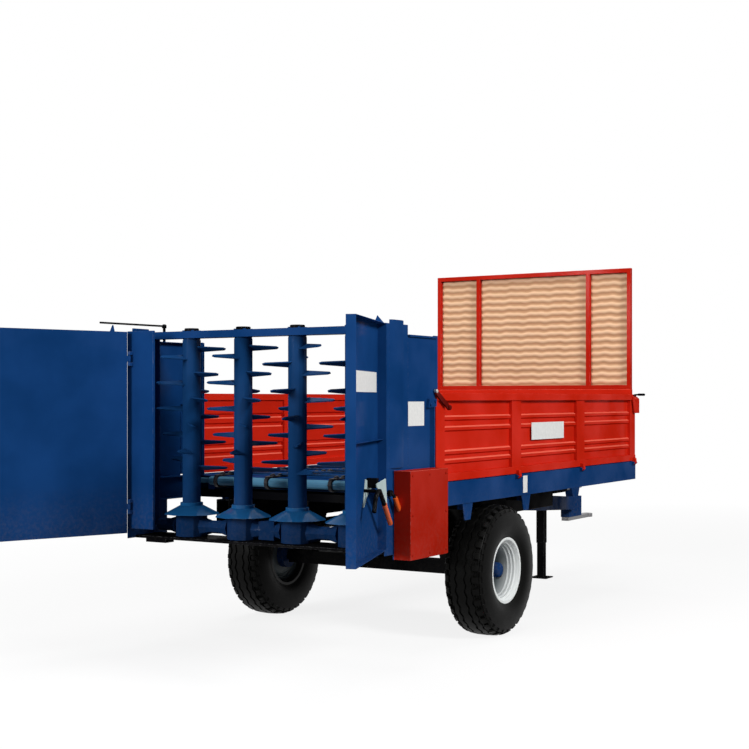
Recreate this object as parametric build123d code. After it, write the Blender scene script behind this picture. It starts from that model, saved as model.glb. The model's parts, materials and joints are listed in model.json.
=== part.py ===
from build123d import *
import os
from math import atan2, cos, degrees, pi, sin

# Towed manure spreader: four upright shredding rotors behind rear doors, drop sides, raised front guard.
# Millimetres. Drawn with x forward from the rear posts, y to the left and z up from the ground;
# save() then puts the origin at the centre of the drawbar eye.

# ---- body ----
BODY_HALF = 935.0          # outer face of rails, boards and rear posts
BODY_REAR = 0.0            # rear face of the posts
BODY_FRONT = 3958.0
RAIL_TOP = 1030.0
RAIL_HIGH = 143.0
RAIL_WIDE = 70.0
RAIL_WALL = 6.0
FLOOR_REAR = 590.0
FLOOR_THICK = 6.0
SHEET = 4.0                # folded body sheet

# ---- floor and conveyor ----
FLOOR_FRONT = 3850.0
RIB_WIDE = 50.0
SHALLOW_Y = (-495.0, 0.0, 495.0)
SHALLOW_RIB = 28.0
CHAIN_Y = (-640.0, -240.0, 240.0, 640.0)
CHAIN_WIDE = 24.0
CHAIN_HIGH = 12.0
WHEEL_R = 42.0             # outside of the chain where it turns round a roller
ROLLER_R = 29.0
ROLLER_CLEAR = 16.0
JOURNAL_HALF = 15.0
LOOP_STEPS = 6
SLAT_COUNT = 11
SLAT_WIDE = 40.0
SLAT_HIGH = 12.0
SLAT_HALF = 700.0
SLAT_CLEAR = 20.0

# ---- chassis ----
BEAM_Y = 550.0             # centre of each main beam
BEAM_WIDE = 100.0
BEAM_HIGH = 170.0
BEAM_WALL = 8.0
BEAM_REAR = 470.0
BEAM_FRONT = 3080.0
CROSS_X = (640.0, 1017.0, 1876.0, 2735.0, 3594.0)
CROSS_WIDE = 70.0
CROSS_HIGH = 50.0
GUSSET_X = (1017.0, 1876.0)
GUSSET_TOP = 140.0
GUSSET_TIP = 75.0
GUSSET_HIGH = 105.0
GUSSET_THICK = 8.0
GUSSET_ARM = 40.0          # bracket from the cross tube out to a gusset

# ---- drawbar ----
ARM_WIDE = 80.0
ARM_HIGH = 116.0
ARM_RISE = 0.08            # rise of the arms towards the rear, per length
ARM_LAP = 200.0            # arm's root inside the main beams
ARM_IN = 30.0              # arm's front end inside the nose
ARM_DROP = 50.0            # arm's centre at the nose, below the nose's top
JACK_SEAT = 180.0          # cross plate round the jack, along the machine
JACK_SEAT_HALF = 140.0
JACK_SEAT_THICK = 30.0
NOSE_REAR = 4720.0
NOSE_LONG = 290.0
NOSE_HALF = 40.0
NOSE_LOW = 479.0
NOSE_TOP = 655.0
EYE_X = 5238.0
EYE_Z = 463.0
EYE_HOLE = 25.0
EYE_RING = 48.0
EYE_THICK = 32.0
TONGUE_HALF = 32.0

# ---- drive ----
SHAFT_Z = 738.0            # drive line, level with the link tube of the gearboxes
STUB_R = 17.5              # splined end of the input shaft, 35 mm
STUB_LONG = 72.0
JOURNAL_R = 24.0           # input shaft inside its stand
JOURNAL_REAR = 4700.0
SHIELD_R = 34.0            # fixed tube round the shaft under the body
STAND_X = 4885.0
STAND_LOW_HALF = 60.0      # foot of the bearing stand
STAND_TOP_HALF = 118.0
STAND_HALF = 34.0
STAND_TOP = 790.0
MITRE_HALF = 56.0          # gearbox where the drive line meets the link tube
MITRE_LONG = 130.0
SHIELD_HANGERS = (640.0, 2735.0)

# ---- running gear ----
AXLE_X = 1481.0
AXLE_BAR = 90.0
TRACK = 1708.0
TYRE_R = 422.5
TYRE_WIDE = 290.0
TYRE_CHAMFER = 38.0        # from the tread to the side walls
TYRE_WALL = 22.0
SEAT_R = 196.0             # bead seat
DISC_OUT = -66.0           # outer face of the wheel disc, from the wheel's middle
RIM_WALL = 10.0
HUB_R = 88.0               # flange behind the wheel disc
HUB_FACE_R = 66.0
HUB_SIDES = 32
HUB_IN = 122.0             # hub's inner end from the wheel's middle
HUB_CAP = 96.0             # hub cap's end, outside the disc
SPINDLE_OUT = 5.0          # spindle's end, outside the wheel's middle
SPINDLE_IN = 150.0         # spindle's root, inside the wheel's middle
SPINDLE_R = 30.0
SADDLE_HALF = 150.0        # saddle on the axle bar, where it meets the main beam
SADDLE_WIDE = 80.0
RUN = 0.3                  # running gap of a turning fit

# ---- rear unit ----
POST_WIDE = 208.0
POST_DEEP = 258.0
POST_LIP = 20.0
POST_EDGE = 50.0           # front flange of the post
POST_WALL = 6.0
POST_TOP = 1952.0
POST_LOW = 723.0
SKIRT_FRONT = 380.0        # lower cheek plate between post foot and rail
CHEEK_FRONT = 590.0
CHEEK_STEP = ((516.0, 1490.0), (574.0, 1897.0))   # plate's front edge, and up to what height
CHEEK_TOP = 1897.0
CHEEK_LIP = 12.0           # angle along the cheek's top, outwards
CHEEK_IN = 145.0           # inward flange at the cheek's front edge
TOP_BEAM_TOP = 1951.0
TOP_BEAM_HIGH = 44.0
TOP_BEAM_DEEP = 100.0
ROTOR_X = 220.0
ROTOR_PITCH = 400.0
ROTOR_TUBE_R = 57.0
SHAFT_R = 25.0
TUBE_SIDES = 16
TUBE_CLEAR = 10.0          # between tube and top beam
CAP_R = 42.0
CAP_HIGH = 16.0
BLADE_R = 225.0
BLADE_ROOT = 66.0          # width at the tube
BLADE_TIP = 26.0
BLADE_THICK = 8.0
BLADE_TILT = 26.0          # each blade is set as a piece of a screw
BLADE_COUNT = 15
BLADE_TOP = 1841.0
BLADE_STEP = 53.0
BLADE_TURN = 127.5         # turn from one blade to the next one down
BLADE_START = 18.0         # bearing of the top blade, from the right towards the front
CONE_R = 178.0
CONE_RIM = 812.0
CONE_TOP = 865.0
CONE_LEDGE = 6.0           # cone's top past the collar
CONE_SIDES = 10
CONE_WALL = 5.0
COLLAR_R = 71.0
COLLAR_TOP = 885.0
BOX_HALF = 95.0            # bevel gearbox housing, across its flats
BOX_SIDES = 12
NECK_SIDES = 8
BOX_TOP = 806.0
BOSS_R = 35.0
BOSS_HIGH = 10.0
NECK_R = 60.0              # tapered necks on both sides of a gearbox
NECK_LONG = 70.0
NECK_LEAN = 15.0
LINK_R = 40.0
LINK_PAST = 250.0          # link tube past the last rotor
LINK_IN_CASE = 20.0        # link tube's end inside the chain case
SOLE_TOP = 675.0
SOLE_THICK = 16.0
SOLE_BACK = 150.0          # sole plate behind and ahead of the rotor axes
SOLE_AHEAD = 100.0
FOOT_HIGH = 22.0
FOOT_IN = 85.0             # foot block from the post's side wall
FOOT_WIDE = 160.0
FOOT_DEEP = 80.0
COVER_REAR = 85.0
COVER_FRONT = 528.0
COVER_LOW = 632.0
COVER_TOP = 1128.0
PLATE_THICK = 8.0          # plate between post and chain case
COVER_DEEP = 107.0

# ---- doors ----
DOOR_LOW = 696.0
DOOR_TOP = 1947.0
DOOR_GAP = 32.0            # from the shut door's free edge to the middle
DOOR_LIP = 52.0
DOOR_SHEET = 3.0
DOOR_OPEN = 110.5          # how far the doors stand open
DOOR_RIB_Z = 1310.0
HINGE_X = -20.0            # hinge pin, in the plane of the door's sheet
HINGE_IN = 33.0            # hinge pin, in from the post's outer face
HINGE_Y = BODY_HALF - HINGE_IN
HINGE_PIN = 6.0
HINGE_R = 10.0
HINGE_Z = (860.0, 1780.0)
HINGE_LONG = 90.0
DOOR_EDGE = 14.0           # from the hinge pin to the door's edge
LUG_ALONG = 100.0          # stay lug on the door's top, from the hinge pin
LUG_THICK = 8.0
LUG_HIGH = 40.0
STAY_Z = 1998.0
STAY_R = 6.0
STAY_REAR = (-208.0, 35.0) # stay's rear end: x, and out from the body's side
STAY_STUD = (320.0, -30.0)
STUD_R = 9.0

# ---- drop sides ----
BOARD_TOP = 1566.0
BOARD_LOW = 1036.0
BOARD_REAR = 600.0
BOARD_THICK = 45.0
STILE_X = (655.0, 1720.0, 2823.0, 3903.0)
STILE_WIDE = (110.0, 144.0, 148.0, 110.0)
RIB_Z = (1151.0, 1205.0, 1349.0, 1413.0)
RIB_HIGH = 34.0
RIB_OUT = 14.0
BOARD_RAIL = 45.0          # top and bottom rail
TOP_PROUD = 6.0            # top rail outside the stiles
SKIN_IN = 27.0             # sheet inside the stiles
SKIN_THICK = 3.0
STILE_IN = 4.0
KNUCKLE_R = 11.0
PIVOT_OUT = 16.0
PIVOT_DROP = 12.0          # pivot below the rail's top
PIN_R = 5.0
EAR_THICK = 8.0
EAR_GAP = 44.0             # between the two ears of a hinge
EAR_PLAY = 5.0

# ---- front ----
HEAD_GAP = 20.0
HEAD_X = BODY_FRONT + HEAD_GAP
HEAD_THICK = 44.0
HEAD_HALF = 886.0
HEAD_TOP = 1608.0
HEAD_FRAME = 45.0
HEAD_SHEET = 3.0
SILL_AHEAD = 20.0          # front sill past the headboard
GUARD_TOP = 2588.0
GUARD_TUBE = 35.0
GUARD_Y = (-515.0, 490.0)  # inner uprights
MESH_THICK = 4.0
MESH_EDGE = 5.0

# ---- jack ----
JACK_X = 4214.0
JACK_SIDE = 68.0
JACK_WALL = 4.0
JACK_LOW = 300.0
JACK_TOP = 700.0
JACK_LEG = 440.0
JACK_FOOT = 150.0
JACK_PLATE = 10.0


def save(name, shape):
    """Write one sub-part, moved so that the drawbar eye's centre is the origin."""
    export_step(Pos(-EYE_X, 0, -EYE_Z) * shape, f"parts/{name}.step")


def block(x0, x1, y0, y1, z0, z1):
    """Block between two corners."""
    return Pos((x0 + x1) / 2, (y0 + y1) / 2, (z0 + z1) / 2) * Box(x1 - x0, y1 - y0, z1 - z0)


def outline(points):
    return make_face(Polyline(*points, close=True))


def along_x(face, x0, x1):
    """Extrude a face drawn in (y, z) from x0 to x1."""
    return extrude(Pos(x0, 0, 0) * (Plane.YZ * face), amount=x1 - x0, dir=(1, 0, 0))


def along_y(face, y0, y1):
    """Extrude a face drawn in (x, z) from y0 to y1."""
    return extrude(Pos(0, y0, 0) * (Plane.XZ * face), amount=y1 - y0, dir=(0, 1, 0))


def along_z(face, z0, z1):
    """Extrude a face drawn in (x, y) from z0 to z1."""
    return extrude(Pos(0, 0, z0) * face, amount=z1 - z0, dir=(0, 0, 1))


def upright(radius, x, y, z0, z1):
    """Upright cylinder between two heights."""
    return Pos(x, y, z0) * Cylinder(radius, z1 - z0, align=(Align.CENTER, Align.CENTER, Align.MIN))


def round_bar(start, end, radius):
    """Round bar from one point to another."""
    start, end = Vector(*start), Vector(*end)
    plane = Plane(origin=start, z_dir=end - start)
    return plane * Cylinder(radius, (end - start).length, align=(Align.CENTER, Align.CENTER, Align.MIN))


def frustum(radius, sides, start, run, lean):
    """Many-sided bar from a point along a run, its sides leaning in."""
    run = Vector(*run)
    plane = Plane(origin=start, z_dir=run)
    return extrude(plane * RegularPolygon(radius, sides), amount=run.length, taper=lean)


def square_tube(side, wall):
    return Rectangle(side, side) - Rectangle(side - 2 * wall, side - 2 * wall)


def mirrored(shape, side):
    """The left-hand shape as drawn, or its right-hand mirror image."""
    return shape if side == "left" else mirror(shape, about=Plane.XZ)


def lathe(profile):
    """Turn a profile of (radius, offset along y) about the left wheel's axis."""
    return Pos(AXLE_X, TRACK / 2, TYRE_R) * revolve(outline(profile), Axis.Y)


def joined(shapes):
    """One shape from many."""
    shapes = list(shapes)
    whole = shapes[0]
    for shape in shapes[1:]:
        whole += shape
    return whole


SIDES = ("left", "right")
os.makedirs("parts", exist_ok=True)

# ---------------------------------------------------------------- side rails
rail_low = RAIL_TOP - RAIL_HIGH
rail_rear = BODY_REAR + POST_DEEP
pivot_y = BODY_HALF + PIVOT_OUT
pivot_z = RAIL_TOP - PIVOT_DROP
ear_reach = EAR_GAP / 2 + EAR_THICK


def side_rail():
    """Channel with its web outside, with a pair of hinge ears and a pin at each stile."""
    web = BODY_HALF - RAIL_WALL
    lip = BODY_HALF - RAIL_WIDE
    section = outline([
        (BODY_HALF, rail_low), (BODY_HALF, RAIL_TOP), (lip, RAIL_TOP), (lip, RAIL_TOP - RAIL_WALL),
        (web, RAIL_TOP - RAIL_WALL), (web, rail_low + RAIL_WALL), (lip, rail_low + RAIL_WALL),
        (lip, rail_low)])
    rail = along_x(section, rail_rear, BODY_FRONT)
    ear = outline([(BODY_HALF, pivot_z - 2 * KNUCKLE_R), (BODY_HALF, pivot_z + KNUCKLE_R),
                   (pivot_y, pivot_z + KNUCKLE_R), (pivot_y + KNUCKLE_R, pivot_z)])
    for x in STILE_X:
        for x0 in (x - ear_reach, x + EAR_GAP / 2):
            rail += along_x(ear, x0, x0 + EAR_THICK)
        rail += round_bar((x - ear_reach, pivot_y, pivot_z), (x + ear_reach, pivot_y, pivot_z), PIN_R)
    return rail


for side in SIDES:
    save(f"side_rail_{side}", mirrored(side_rail(), side))

# ---------------------------------------------------------------- chassis
cross_top = rail_low + CROSS_HIGH
beam_low = rail_low - BEAM_HIGH
beam_in = BEAM_Y - BEAM_WIDE / 2


def main_beam():
    """Box beam under the cross members, from the rear unit to the roots of the drawbar arms."""
    tube = Rectangle(BEAM_WIDE, BEAM_HIGH) - Rectangle(BEAM_WIDE - 2 * BEAM_WALL, BEAM_HIGH - 2 * BEAM_WALL)
    return along_x(Pos(BEAM_Y, rail_low - BEAM_HIGH / 2) * tube, BEAM_REAR, BEAM_FRONT)


for side in SIDES:
    save(f"main_beam_{side}", mirrored(main_beam(), side))


def cross_members():
    """Cross tubes between the rails; the two by the axle end in tapered gussets below the rails."""
    members = []
    end = BODY_HALF - RAIL_WALL
    gusset = outline([(-GUSSET_TOP / 2, rail_low), (GUSSET_TOP / 2, rail_low),
                      (GUSSET_TIP / 2, rail_low - GUSSET_HIGH), (-GUSSET_TIP / 2, rail_low - GUSSET_HIGH)])
    for x in CROSS_X:
        member = block(x - CROSS_WIDE / 2, x + CROSS_WIDE / 2, RAIL_WIDE - BODY_HALF, BODY_HALF - RAIL_WIDE,
                       rail_low, cross_top)
        if x in GUSSET_X:
            arm = block(x - GUSSET_TIP / 2, x + GUSSET_TIP / 2, BODY_HALF - 2 * RAIL_WIDE, end,
                        rail_low - GUSSET_ARM, rail_low)
            plate = arm + Pos(x, 0, 0) * along_y(gusset, end - GUSSET_THICK, end)
            member += mirrored(plate, "left") + mirrored(plate, "right")
        members.append(member)
    return Compound(members)


save("cross_members", cross_members())

# floor deck between the rails: two deep ribs lie on the cross members, shallow ones stiffen the sheet
floor_half = BODY_HALF - RAIL_WIDE
floor_low = RAIL_TOP - FLOOR_THICK
rib_y = SLAT_HALF + RIB_WIDE / 2 + SLAT_CLEAR
deck = block(FLOOR_REAR, FLOOR_FRONT, -floor_half, floor_half, floor_low, RAIL_TOP)
ribs = [(y, cross_top) for y in (-rib_y, rib_y)] + [(y, floor_low - SHALLOW_RIB) for y in SHALLOW_Y]
for y, low in ribs:
    deck += block(CROSS_X[0] - CROSS_WIDE / 2, CROSS_X[-1] + CROSS_WIDE / 2,
                  y - RIB_WIDE / 2, y + RIB_WIDE / 2, low, floor_low)
save("floor_deck", deck)

# conveyor: four endless chains with slats all round, over a roller at each end of the deck
chain_top = RAIL_TOP + CHAIN_HIGH
return_low = chain_top - 2 * WHEEL_R
roller_z = chain_top - WHEEL_R
roller_x = (FLOOR_REAR - ROLLER_R - ROLLER_CLEAR, FLOOR_FRONT + ROLLER_R + ROLLER_CLEAR)


def chain_loop(radius):
    """Side view of an endless band of this radius over both rollers."""
    steps = [pi / 2 + i * pi / LOOP_STEPS for i in range(LOOP_STEPS + 1)]
    return outline([(roller_x[0] + radius * cos(a), roller_z + radius * sin(a)) for a in steps]
                   + [(roller_x[1] - radius * cos(a), roller_z - radius * sin(a)) for a in steps])


loop = chain_loop(WHEEL_R) - chain_loop(WHEEL_R - CHAIN_HIGH)
chains = joined(along_y(loop, y - CHAIN_WIDE / 2, y + CHAIN_WIDE / 2) for y in CHAIN_Y)
save("conveyor_chains", chains)
slats = []
for i in range(SLAT_COUNT):
    x = roller_x[0] + (i + 0.5) * (roller_x[1] - roller_x[0]) / SLAT_COUNT
    for z0 in (chain_top, return_low - SLAT_HIGH):
        slats.append(block(x - SLAT_WIDE / 2, x + SLAT_WIDE / 2, -SLAT_HALF, SLAT_HALF, z0, z0 + SLAT_HIGH))
save("conveyor_slats", Compound(children=slats))

for name, x in zip(("conveyor_roller_rear", "conveyor_roller_front"), roller_x):
    roller = frustum(ROLLER_R, LOOP_STEPS * 2, (x, -SLAT_HALF, roller_z), (0, 2 * SLAT_HALF, 0), 0)
    roller += block(x - JOURNAL_HALF, x + JOURNAL_HALF, RAIL_WALL - BODY_HALF, BODY_HALF - RAIL_WALL,
                    roller_z - JOURNAL_HALF, roller_z + JOURNAL_HALF)
    save(name, roller)

# ---------------------------------------------------------------- drawbar
nose_mid = NOSE_TOP - ARM_DROP


def drawbar_arm():
    """Box arm from the nose back, out and up to the inner face of the left main beam."""
    front = Vector(NOSE_REAR + ARM_IN, ARM_WIDE / 2, nose_mid)
    rear_x = BEAM_FRONT - ARM_LAP
    rear = Vector(rear_x - ARM_WIDE, beam_in + ARM_WIDE / 4, nose_mid + ARM_RISE * (front.X - rear_x))
    run = rear - front
    plane = Plane(origin=front, x_dir=Vector(-run.Y, run.X, 0), z_dir=run)
    arm = extrude(plane * Rectangle(ARM_WIDE, ARM_HIGH), amount=run.length)
    return arm & block(BODY_REAR, NOSE_REAR + NOSE_LONG, 0, beam_in, NOSE_LOW, rail_low)


def drawbar():
    """Two splayed arms, a deep nose block and the cross plate that carries the jack."""
    frame = block(NOSE_REAR, NOSE_REAR + NOSE_LONG, -NOSE_HALF, NOSE_HALF, NOSE_LOW, NOSE_TOP)
    frame += mirrored(drawbar_arm(), "left") + mirrored(drawbar_arm(), "right")
    jack_half = JACK_SIDE / 2
    frame += block(JACK_X - JACK_SEAT / 2, JACK_X + JACK_SEAT / 2, -JACK_SEAT_HALF, JACK_SEAT_HALF,
                   nose_mid, nose_mid + JACK_SEAT_THICK)
    frame -= block(JACK_X - jack_half, JACK_X + jack_half, -jack_half, jack_half, NOSE_LOW, rail_low)
    return frame


save("drawbar", drawbar())

# towing eye: a ring on a flat tongue under the nose, hole upright
tongue_top = EYE_Z + EYE_THICK / 2
eye = upright(EYE_RING, EYE_X, 0, EYE_Z - EYE_THICK / 2, tongue_top)
eye += block(NOSE_REAR, EYE_X, -TONGUE_HALF, TONGUE_HALF, EYE_Z - EYE_THICK / 2, tongue_top)
eye -= upright(EYE_HOLE, EYE_X, 0, EYE_Z - EYE_THICK, EYE_Z + EYE_THICK)
save("drawbar_eye", eye)

# drive line: input shaft in a bearing stand on the nose, then a fixed tube back to the gearbox row
stub_x = STAND_X + STAND_TOP_HALF + RUN
shaft = round_bar((JOURNAL_REAR, 0, SHAFT_Z), (stub_x, 0, SHAFT_Z), JOURNAL_R)
save("input_shaft", shaft + round_bar((stub_x, 0, SHAFT_Z), (stub_x + STUB_LONG, 0, SHAFT_Z), STUB_R))
bore = round_bar((JOURNAL_REAR, 0, SHAFT_Z), (stub_x, 0, SHAFT_Z), JOURNAL_R + RUN)
stand = along_y(outline([(STAND_X - STAND_LOW_HALF, NOSE_TOP), (STAND_X + STAND_LOW_HALF, NOSE_TOP),
                         (STAND_X + STAND_TOP_HALF, STAND_TOP), (STAND_X - STAND_TOP_HALF, STAND_TOP)]),
                -STAND_HALF, STAND_HALF)
save("bearing_stand", stand - bore)
mitre_x = ROTOR_X + MITRE_LONG
shield = frustum(SHIELD_R, BOX_SIDES, (mitre_x, 0, SHAFT_Z), (JOURNAL_REAR - RUN - mitre_x, 0, 0), 0)
for x in SHIELD_HANGERS:
    shield += block(x - CROSS_WIDE / 2, x + CROSS_WIDE / 2, -SHIELD_R / 2, SHIELD_R / 2, SHAFT_Z, rail_low)
save("drive_tube", shield)

# ---------------------------------------------------------------- axle and wheels
axle_half = AXLE_BAR / 2
spindle_in = TRACK / 2 - SPINDLE_IN
spindle_out = TRACK / 2 + SPINDLE_OUT
axle = block(AXLE_X - axle_half, AXLE_X + axle_half, -spindle_in, spindle_in,
             TYRE_R - axle_half, TYRE_R + axle_half)
saddle = outline([(AXLE_X - axle_half, TYRE_R + axle_half), (AXLE_X + axle_half, TYRE_R + axle_half),
                  (AXLE_X + SADDLE_HALF, beam_low), (AXLE_X - SADDLE_HALF, beam_low)])
for side in SIDES:
    stub = round_bar((AXLE_X, spindle_in, TYRE_R), (AXLE_X, spindle_out, TYRE_R), SPINDLE_R)
    axle += mirrored(stub + along_y(saddle, BEAM_Y - SADDLE_WIDE / 2, BEAM_Y + SADDLE_WIDE / 2), side)
save("axle_beam", axle)

tyre_half = TYRE_WIDE / 2
bead = tyre_half - TYRE_WALL
crown = TYRE_R - 30.0
tyre_profile = [
    (SEAT_R, -bead), (SEAT_R, -tyre_half), (TYRE_R, -tyre_half), (TYRE_R, tyre_half),
    (SEAT_R, tyre_half), (SEAT_R, bead), (crown, bead), (crown, -bead)]
rim_in = SEAT_R - RIM_WALL
rim_profile = [
    (SEAT_R, -tyre_half), (SEAT_R, tyre_half), (rim_in, tyre_half), (rim_in, DISC_OUT),
    (HUB_FACE_R, DISC_OUT),
    (HUB_FACE_R, DISC_OUT - RIM_WALL), (rim_in, DISC_OUT - RIM_WALL), (rim_in, -tyre_half)]


def tyre():
    """Hollow carcass, chamfered from the tread to the side walls."""
    carcass = lathe(tyre_profile)
    rings = carcass.edges().filter_by(GeomType.CIRCLE)
    return chamfer([ring for ring in rings if ring.radius > TYRE_R - 1], TYRE_CHAMFER)


def hub():
    """Flange behind the disc, barrel through it and a blind bore for the spindle."""
    start = TRACK / 2 - HUB_IN
    flange = frustum(HUB_R, HUB_SIDES, (AXLE_X, start, TYRE_R), (0, HUB_IN + DISC_OUT - RIM_WALL, 0), 0)
    barrel = frustum(HUB_FACE_R, HUB_SIDES, (AXLE_X, start, TYRE_R), (0, HUB_IN + DISC_OUT + HUB_CAP, 0), 0)
    bore_end = TRACK / 2 + SPINDLE_OUT + 2 * RUN
    return flange + barrel - round_bar((AXLE_X, start, TYRE_R), (AXLE_X, bore_end, TYRE_R), SPINDLE_R + RUN)


for side in SIDES:
    save(f"tyre_{side}", mirrored(tyre(), side))
    save(f"rim_{side}", mirrored(lathe(rim_profile), side))
    save(f"hub_{side}", mirrored(hub(), side))

# ---------------------------------------------------------------- rear unit
post_in = BODY_HALF - POST_WIDE
post_front = BODY_REAR + POST_DEEP
inner_face = BODY_HALF - POST_WALL
ear_high = HINGE_LONG / 4


def hinge_knuckles():
    """Upper and lower knuckle of each door hinge on ears from the post, with the pin through them."""
    parts = []
    half = HINGE_R / 2
    ear = Pos(HINGE_X, HINGE_Y) * outline([
        (BODY_REAR - HINGE_X, -HINGE_R), (-half, -HINGE_R), (-HINGE_R, -half),
        (-HINGE_R, half), (-half, HINGE_R), (BODY_REAR - HINGE_X, HINGE_R)])
    for z in HINGE_Z:
        top = z + HINGE_LONG / 2
        low = z - HINGE_LONG / 2
        parts.append(upright(HINGE_PIN, HINGE_X, HINGE_Y, low, top))
        parts.append(along_z(ear, low, low + ear_high) + along_z(ear, top - ear_high, top))
    return joined(parts)


def rear_post():
    """Folded post: broad rear face, side wall outside, a short lip inside, and the skirt below it."""
    section = outline([
        (BODY_REAR, BODY_HALF), (BODY_REAR, post_in), (BODY_REAR + POST_LIP, post_in),
        (BODY_REAR + POST_LIP, post_in + POST_WALL), (BODY_REAR + POST_WALL, post_in + POST_WALL),
        (BODY_REAR + POST_WALL, inner_face), (post_front - POST_WALL, inner_face),
        (post_front - POST_WALL, BODY_HALF - POST_EDGE), (post_front, BODY_HALF - POST_EDGE),
        (post_front, BODY_HALF)])
    skirt = block(BODY_REAR, SKIRT_FRONT, inner_face, BODY_HALF, SOLE_TOP - SOLE_THICK, rail_low)
    return along_z(section, POST_LOW, POST_TOP) + skirt + hinge_knuckles()


def housing_side():
    """Cheek plate between post and drop side, with a top flange and a broad inward front flange."""
    (low_x, step_z), (high_x, _) = CHEEK_STEP
    side_view = outline([(post_front, RAIL_TOP), (low_x, RAIL_TOP), (low_x, step_z), (high_x, step_z),
                         (high_x, CHEEK_TOP), (post_front, CHEEK_TOP)])
    plate = along_y(side_view, BODY_HALF - SHEET, BODY_HALF)
    lip = BODY_HALF + CHEEK_LIP
    plate += block(post_front, CHEEK_FRONT, BODY_HALF - POST_EDGE, lip, CHEEK_TOP - SHEET, CHEEK_TOP)
    plate += block(post_front, CHEEK_FRONT, lip - SHEET, lip, CHEEK_TOP - 3 * SHEET, CHEEK_TOP)
    skin = BODY_HALF - SHEET
    plate += block(low_x - SHEET, CHEEK_FRONT, BODY_HALF - POST_EDGE, skin, step_z, step_z + SHEET)
    plate += block(CHEEK_FRONT - SHEET, CHEEK_FRONT, BODY_HALF - CHEEK_IN, skin, RAIL_TOP, CHEEK_TOP)
    return plate


cover_in = BODY_HALF + PLATE_THICK
cover_out = cover_in + COVER_DEEP
drive_hole = frustum(LINK_R + 1, NECK_SIDES, (ROTOR_X, -cover_in, SHAFT_Z), (0, cover_in - post_in, 0), 0)
for side in SIDES:
    post = mirrored(rear_post(), side)
    save(f"rear_post_{side}", post if side == "left" else post - drive_hole)
    save(f"housing_side_{side}", mirrored(housing_side(), side))

# top beam between the posts, with a bearing cap over each rotor
rotor_y = [ROTOR_PITCH * (1.5 - i) for i in range(4)]
top_low = TOP_BEAM_TOP - TOP_BEAM_HIGH
top_x1 = post_front - POST_WALL
top_beam = block(top_x1 - TOP_BEAM_DEEP, top_x1, -inner_face, inner_face, top_low, TOP_BEAM_TOP)
for y in rotor_y:
    top_beam += frustum(CAP_R, BOX_SIDES, (ROTOR_X, y, TOP_BEAM_TOP), (0, 0, CAP_HIGH), 0)
    top_beam -= upright(SHAFT_R + RUN, ROTOR_X, y, top_low, TOP_BEAM_TOP + CAP_HIGH / 2)
save("top_beam", top_beam)

# sole plate under the gearboxes, with a foot block at each end
sole_low = SOLE_TOP - SOLE_THICK
sole = block(ROTOR_X - SOLE_BACK, ROTOR_X + SOLE_AHEAD, -inner_face, inner_face, sole_low, SOLE_TOP)
foot_out = inner_face - FOOT_IN
foot = block(ROTOR_X - SOLE_BACK, ROTOR_X - SOLE_BACK + FOOT_DEEP, foot_out - FOOT_WIDE, foot_out,
             sole_low - FOOT_HIGH, sole_low)
for side in SIDES:
    sole += mirrored(foot, side)
save("gearbox_beam", sole)

# bevel gearboxes in a row, with tapered necks and the link tube that also passes out to the right
box_r = BOX_HALF / cos(pi / BOX_SIDES)
housing = extrude(Rot(0, 0, 180 / BOX_SIDES) * RegularPolygon(box_r, BOX_SIDES), BOX_TOP - SOLE_TOP)
boxes = joined(Pos(ROTOR_X, y, SOLE_TOP) * housing for y in rotor_y)
for y in rotor_y:
    for way in (-1, 1):
        neck_at = (ROTOR_X, y + way * BOX_HALF, SHAFT_Z)
        boxes += frustum(NECK_R, NECK_SIDES, neck_at, (0, way * NECK_LONG, 0), NECK_LEAN)
    boxes += frustum(BOSS_R, NECK_SIDES, (ROTOR_X, y, BOX_TOP), (0, 0, BOSS_HIGH), 0)
reach = BOX_HALF + NECK_LONG
ends = [y + way * reach for y in reversed(rotor_y) for way in (-1, 1)]
ends = [-BODY_HALF - LINK_IN_CASE, *ends, rotor_y[0] + LINK_PAST]
for y0, y1 in zip(ends[::2], ends[1::2]):
    boxes += frustum(LINK_R, NECK_SIDES, (ROTOR_X, y0, SHAFT_Z), (0, y1 - y0, 0), 0)
boxes += block(ROTOR_X - LINK_R, mitre_x, -MITRE_HALF, MITRE_HALF, SHAFT_Z - MITRE_HALF, SHAFT_Z + MITRE_HALF)
save("rotor_gearboxes", boxes)


def blade(bearing, z, spin):
    """Flat knife tapering to a blunt point and tilted about its length, pointing along +x before its turn."""
    half = BLADE_ROOT / 2
    tip = BLADE_TIP / 2
    root = ROTOR_TUBE_R - BLADE_THICK
    knife = outline([(root, -half), (BLADE_R - tip, -tip), (BLADE_R, 0), (BLADE_R - tip, tip), (root, half)])
    place = Rot(0, 0, bearing) * Pos(0, 0, z) * Rot(spin * -BLADE_TILT, 0, 0)
    return place * along_z(knife, -BLADE_THICK / 2, BLADE_THICK / 2)


def rotor(spin):
    """Tube with its top shaft and one blade a level; spin is 1 or -1 for the hand of the screw."""
    shoulder = top_low - TUBE_CLEAR
    body = frustum(ROTOR_TUBE_R, TUBE_SIDES, (0, 0, COLLAR_TOP), (0, 0, shoulder - COLLAR_TOP), 0)
    body += upright(SHAFT_R, 0, 0, shoulder, TOP_BEAM_TOP + CAP_HIGH / 4)
    for i in range(BLADE_COUNT):
        body += blade(spin * (BLADE_START - BLADE_TURN * i) - 90, BLADE_TOP - i * BLADE_STEP, spin)
    return body


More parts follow.
